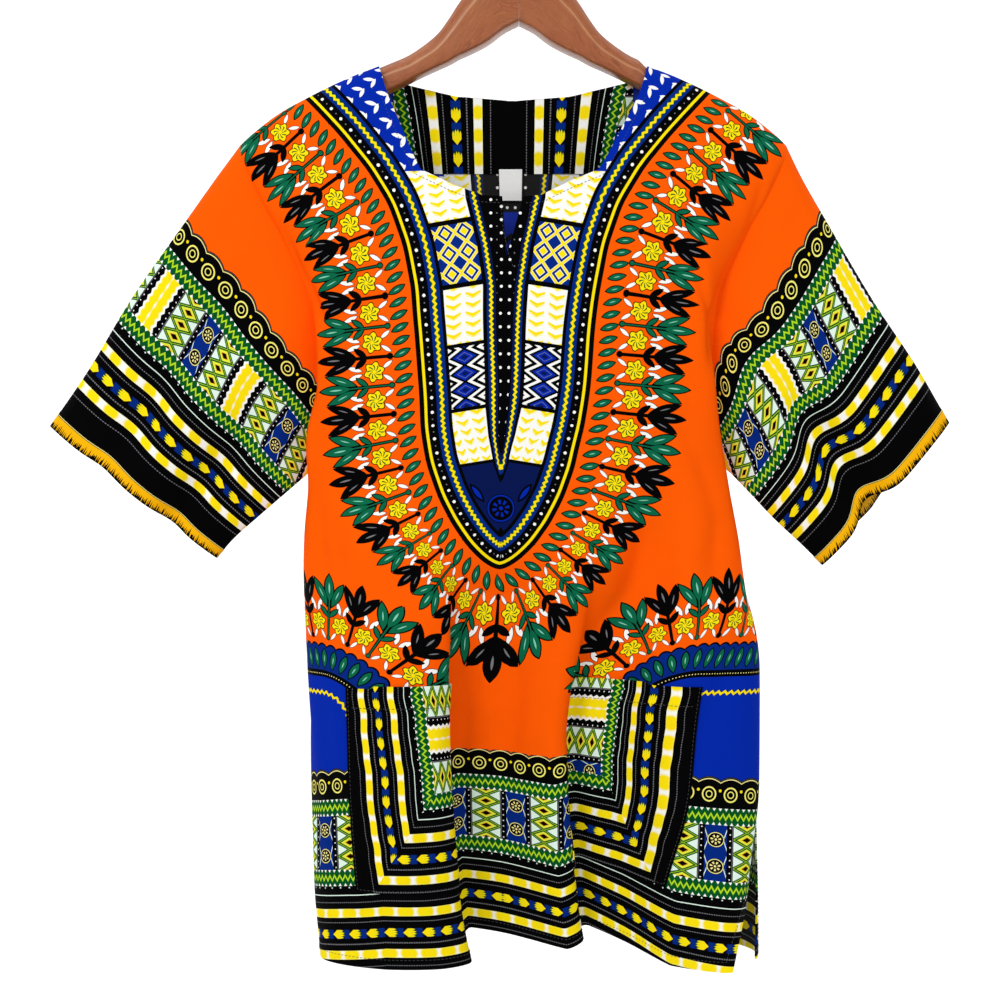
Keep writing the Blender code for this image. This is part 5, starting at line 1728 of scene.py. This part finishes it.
# Along the front neckline, from each shoulder to the slit
def neckStitches(name, edge):
    steps = lengthAlong(edge)
    edge = sampled(np.arange(0.001, steps[-1], stitching["step"]), steps, edge)
    run = unit(np.gradient(edge, axis=0))
    x, up = (edge + np.stack([run[:, 1], -run[:, 0]], -1) * (turnings["neck"] - 0.001)).T
    x, up = x[up < stitching["neckTop"]], up[up < stitching["neckTop"]]
    return frontStitches("neck_stitches_" + name, x, up)


onFront = [neckStitches("left", frontNeck[1:7]), neckStitches("right", frontNeck[8:14])]
slitLine = np.array([(0.0018, 0.5800), (0.0062, 0.5920), (0.0105, 0.6130), (0.0125, 0.6350)])
for name, sign in (("left", -1), ("right", 1)):
    t = np.linspace(0, 3, 45)
    x = np.interp(t, range(4), slitLine[:, 0]) * sign + 0.0016
    up = np.interp(t, range(4), slitLine[:, 1])
    onFront.append(frontStitches("slit_stitches_" + name, x, up))
hems = {}
for panel in ("front", "back"):
    low, high = turnings["hem"] - 0.0015, slitUp - 0.004
    edge = 1 - low / panelHalf
    share, up = legs([(-edge, high), (-edge, low), (edge, low), (edge, high)])
    points, out = bodyPoint(panel, share, up, bodyHalf(panel, share, up))
    hems[panel] = stitchLine("hem_stitches_" + panel, points, out, blackThread)
declareSheet(*panels["front"], ["arm_left", "arm_right"], [*onFront, hems["front"]])
declareSheet(*panels["back"], ["arm_left", "arm_right"], [hems["back"]])

for side, (left, right) in pocketEdges.items():
    inset = stitching["inset"]
    a, b = (left + inset) / panelHalf, (right - inset) / panelHalf
    low, high = pocketBottom + inset, pocketTop - inset
    sewn = []
    for name, corners in (
        ("pocket_stitches_", [(a, high), (a, low), (b, low), (b, high)]),
        ("pocket_hem_stitches_", [(a + 0.01, high - 0.016), (b - 0.01, high - 0.016)]),
    ):
        share, up = legs(corners)
        lift, half = pocketLift(side, share, up)
        points, out = bodyPoint("front", share, up, lift + half)
        sewn.append(stitchLine(name + side, points, out, blackThread))
    declareSheet(*pockets[side], [panels["front"][0]], sewn)
declareSheet(facingPiece, facingFlat, [panels["back"][0]])

for side, (made, grid, out, flat, total) in sleeves.items():
    v = flat[..., 1]
    row = v.shape[0] - 1 - np.argmax(v[::-1] > turnings["cuff"] - 0.001, axis=0)
    column = np.arange(v.shape[1])
    low, high = v[row + 1, column], v[row, column]
    share = ((turnings["cuff"] - 0.001 - low) / (high - low))[:, None]
    points = grid[row + 1, column] * (1 - share) + grid[row, column] * share
    out = out[row, column]
    points = points + out * (turnings["cloth"] + turnings["more"])
    points, out = np.concatenate([points, points[:1]]), np.concatenate([out, out[:1]])
    sewn = stitchLine("cuff_stitches_" + side, points, out, goldThread)
    declareSheet(made, flat, [*(panels[panel][0] for panel in panels)], [sewn], total)


view = {"place": (-0.0166, -1.450, -0.534), "lens": 59.66, "sensor": 36, "far": 30}


def addCamera():
    data = bpy.data.cameras.new("camera")
    data.lens = view["lens"]
    data.sensor_width = view["sensor"]
    data.clip_end = view["far"]
    camera = added("camera", data)
    camera.location = view["place"]
    camera.rotation_euler = (math.radians(90), 0, 0)
    bpy.context.scene.camera = camera


def addLight(name, place, aim, size, watts):
    data = bpy.data.lights.new(name, "AREA")
    data.shape = "RECTANGLE"
    data.size, data.size_y = size
    data.energy = watts
    light = added(name, data)
    light.location = place
    light.visible_camera = False
    direction = mathutils.Vector(aim) - mathutils.Vector(place)
    light.rotation_euler = direction.to_track_quat("-Z", "Y").to_euler()


# name, place, aim, size in m and watts
lights = [
    ("key", (-1.5, -2.4, 0.8), (0, 0, -0.5), (1.0, 1.0), 37),
    ("fill", (1.4, -2.5, -0.3), (0, 0, -0.5), (1.8, 1.8), 13),
    ("top", (0.0, 0.1, 1.5), (0, 0.2, -0.6), (2.0, 1.4), 7),
    ("paper left", (-2.4, 1.3, 0.6), (0.4, 4.4, -0.5), (1.2, 1.6), 74),
    ("paper right", (2.4, 1.3, 0.6), (-0.4, 4.4, -0.5), (1.2, 1.6), 74),
]
addStage()
addCamera()
for name, place, aim, size, watts in lights:
    addLight(name, place, aim, size, watts)
world = bpy.data.worlds.new("room")
bpy.context.scene.world = world
world.use_nodes = True
background = world.node_tree.nodes["Background"]
background.inputs["Color"].default_value = (1, 1, 1, 1)
background.inputs["Strength"].default_value = studio["world"]
bpy.context.scene.view_settings.view_transform = "Standard"
bpy.context.scene.view_settings.look = "None"
print("backdrop, camera and lights made")
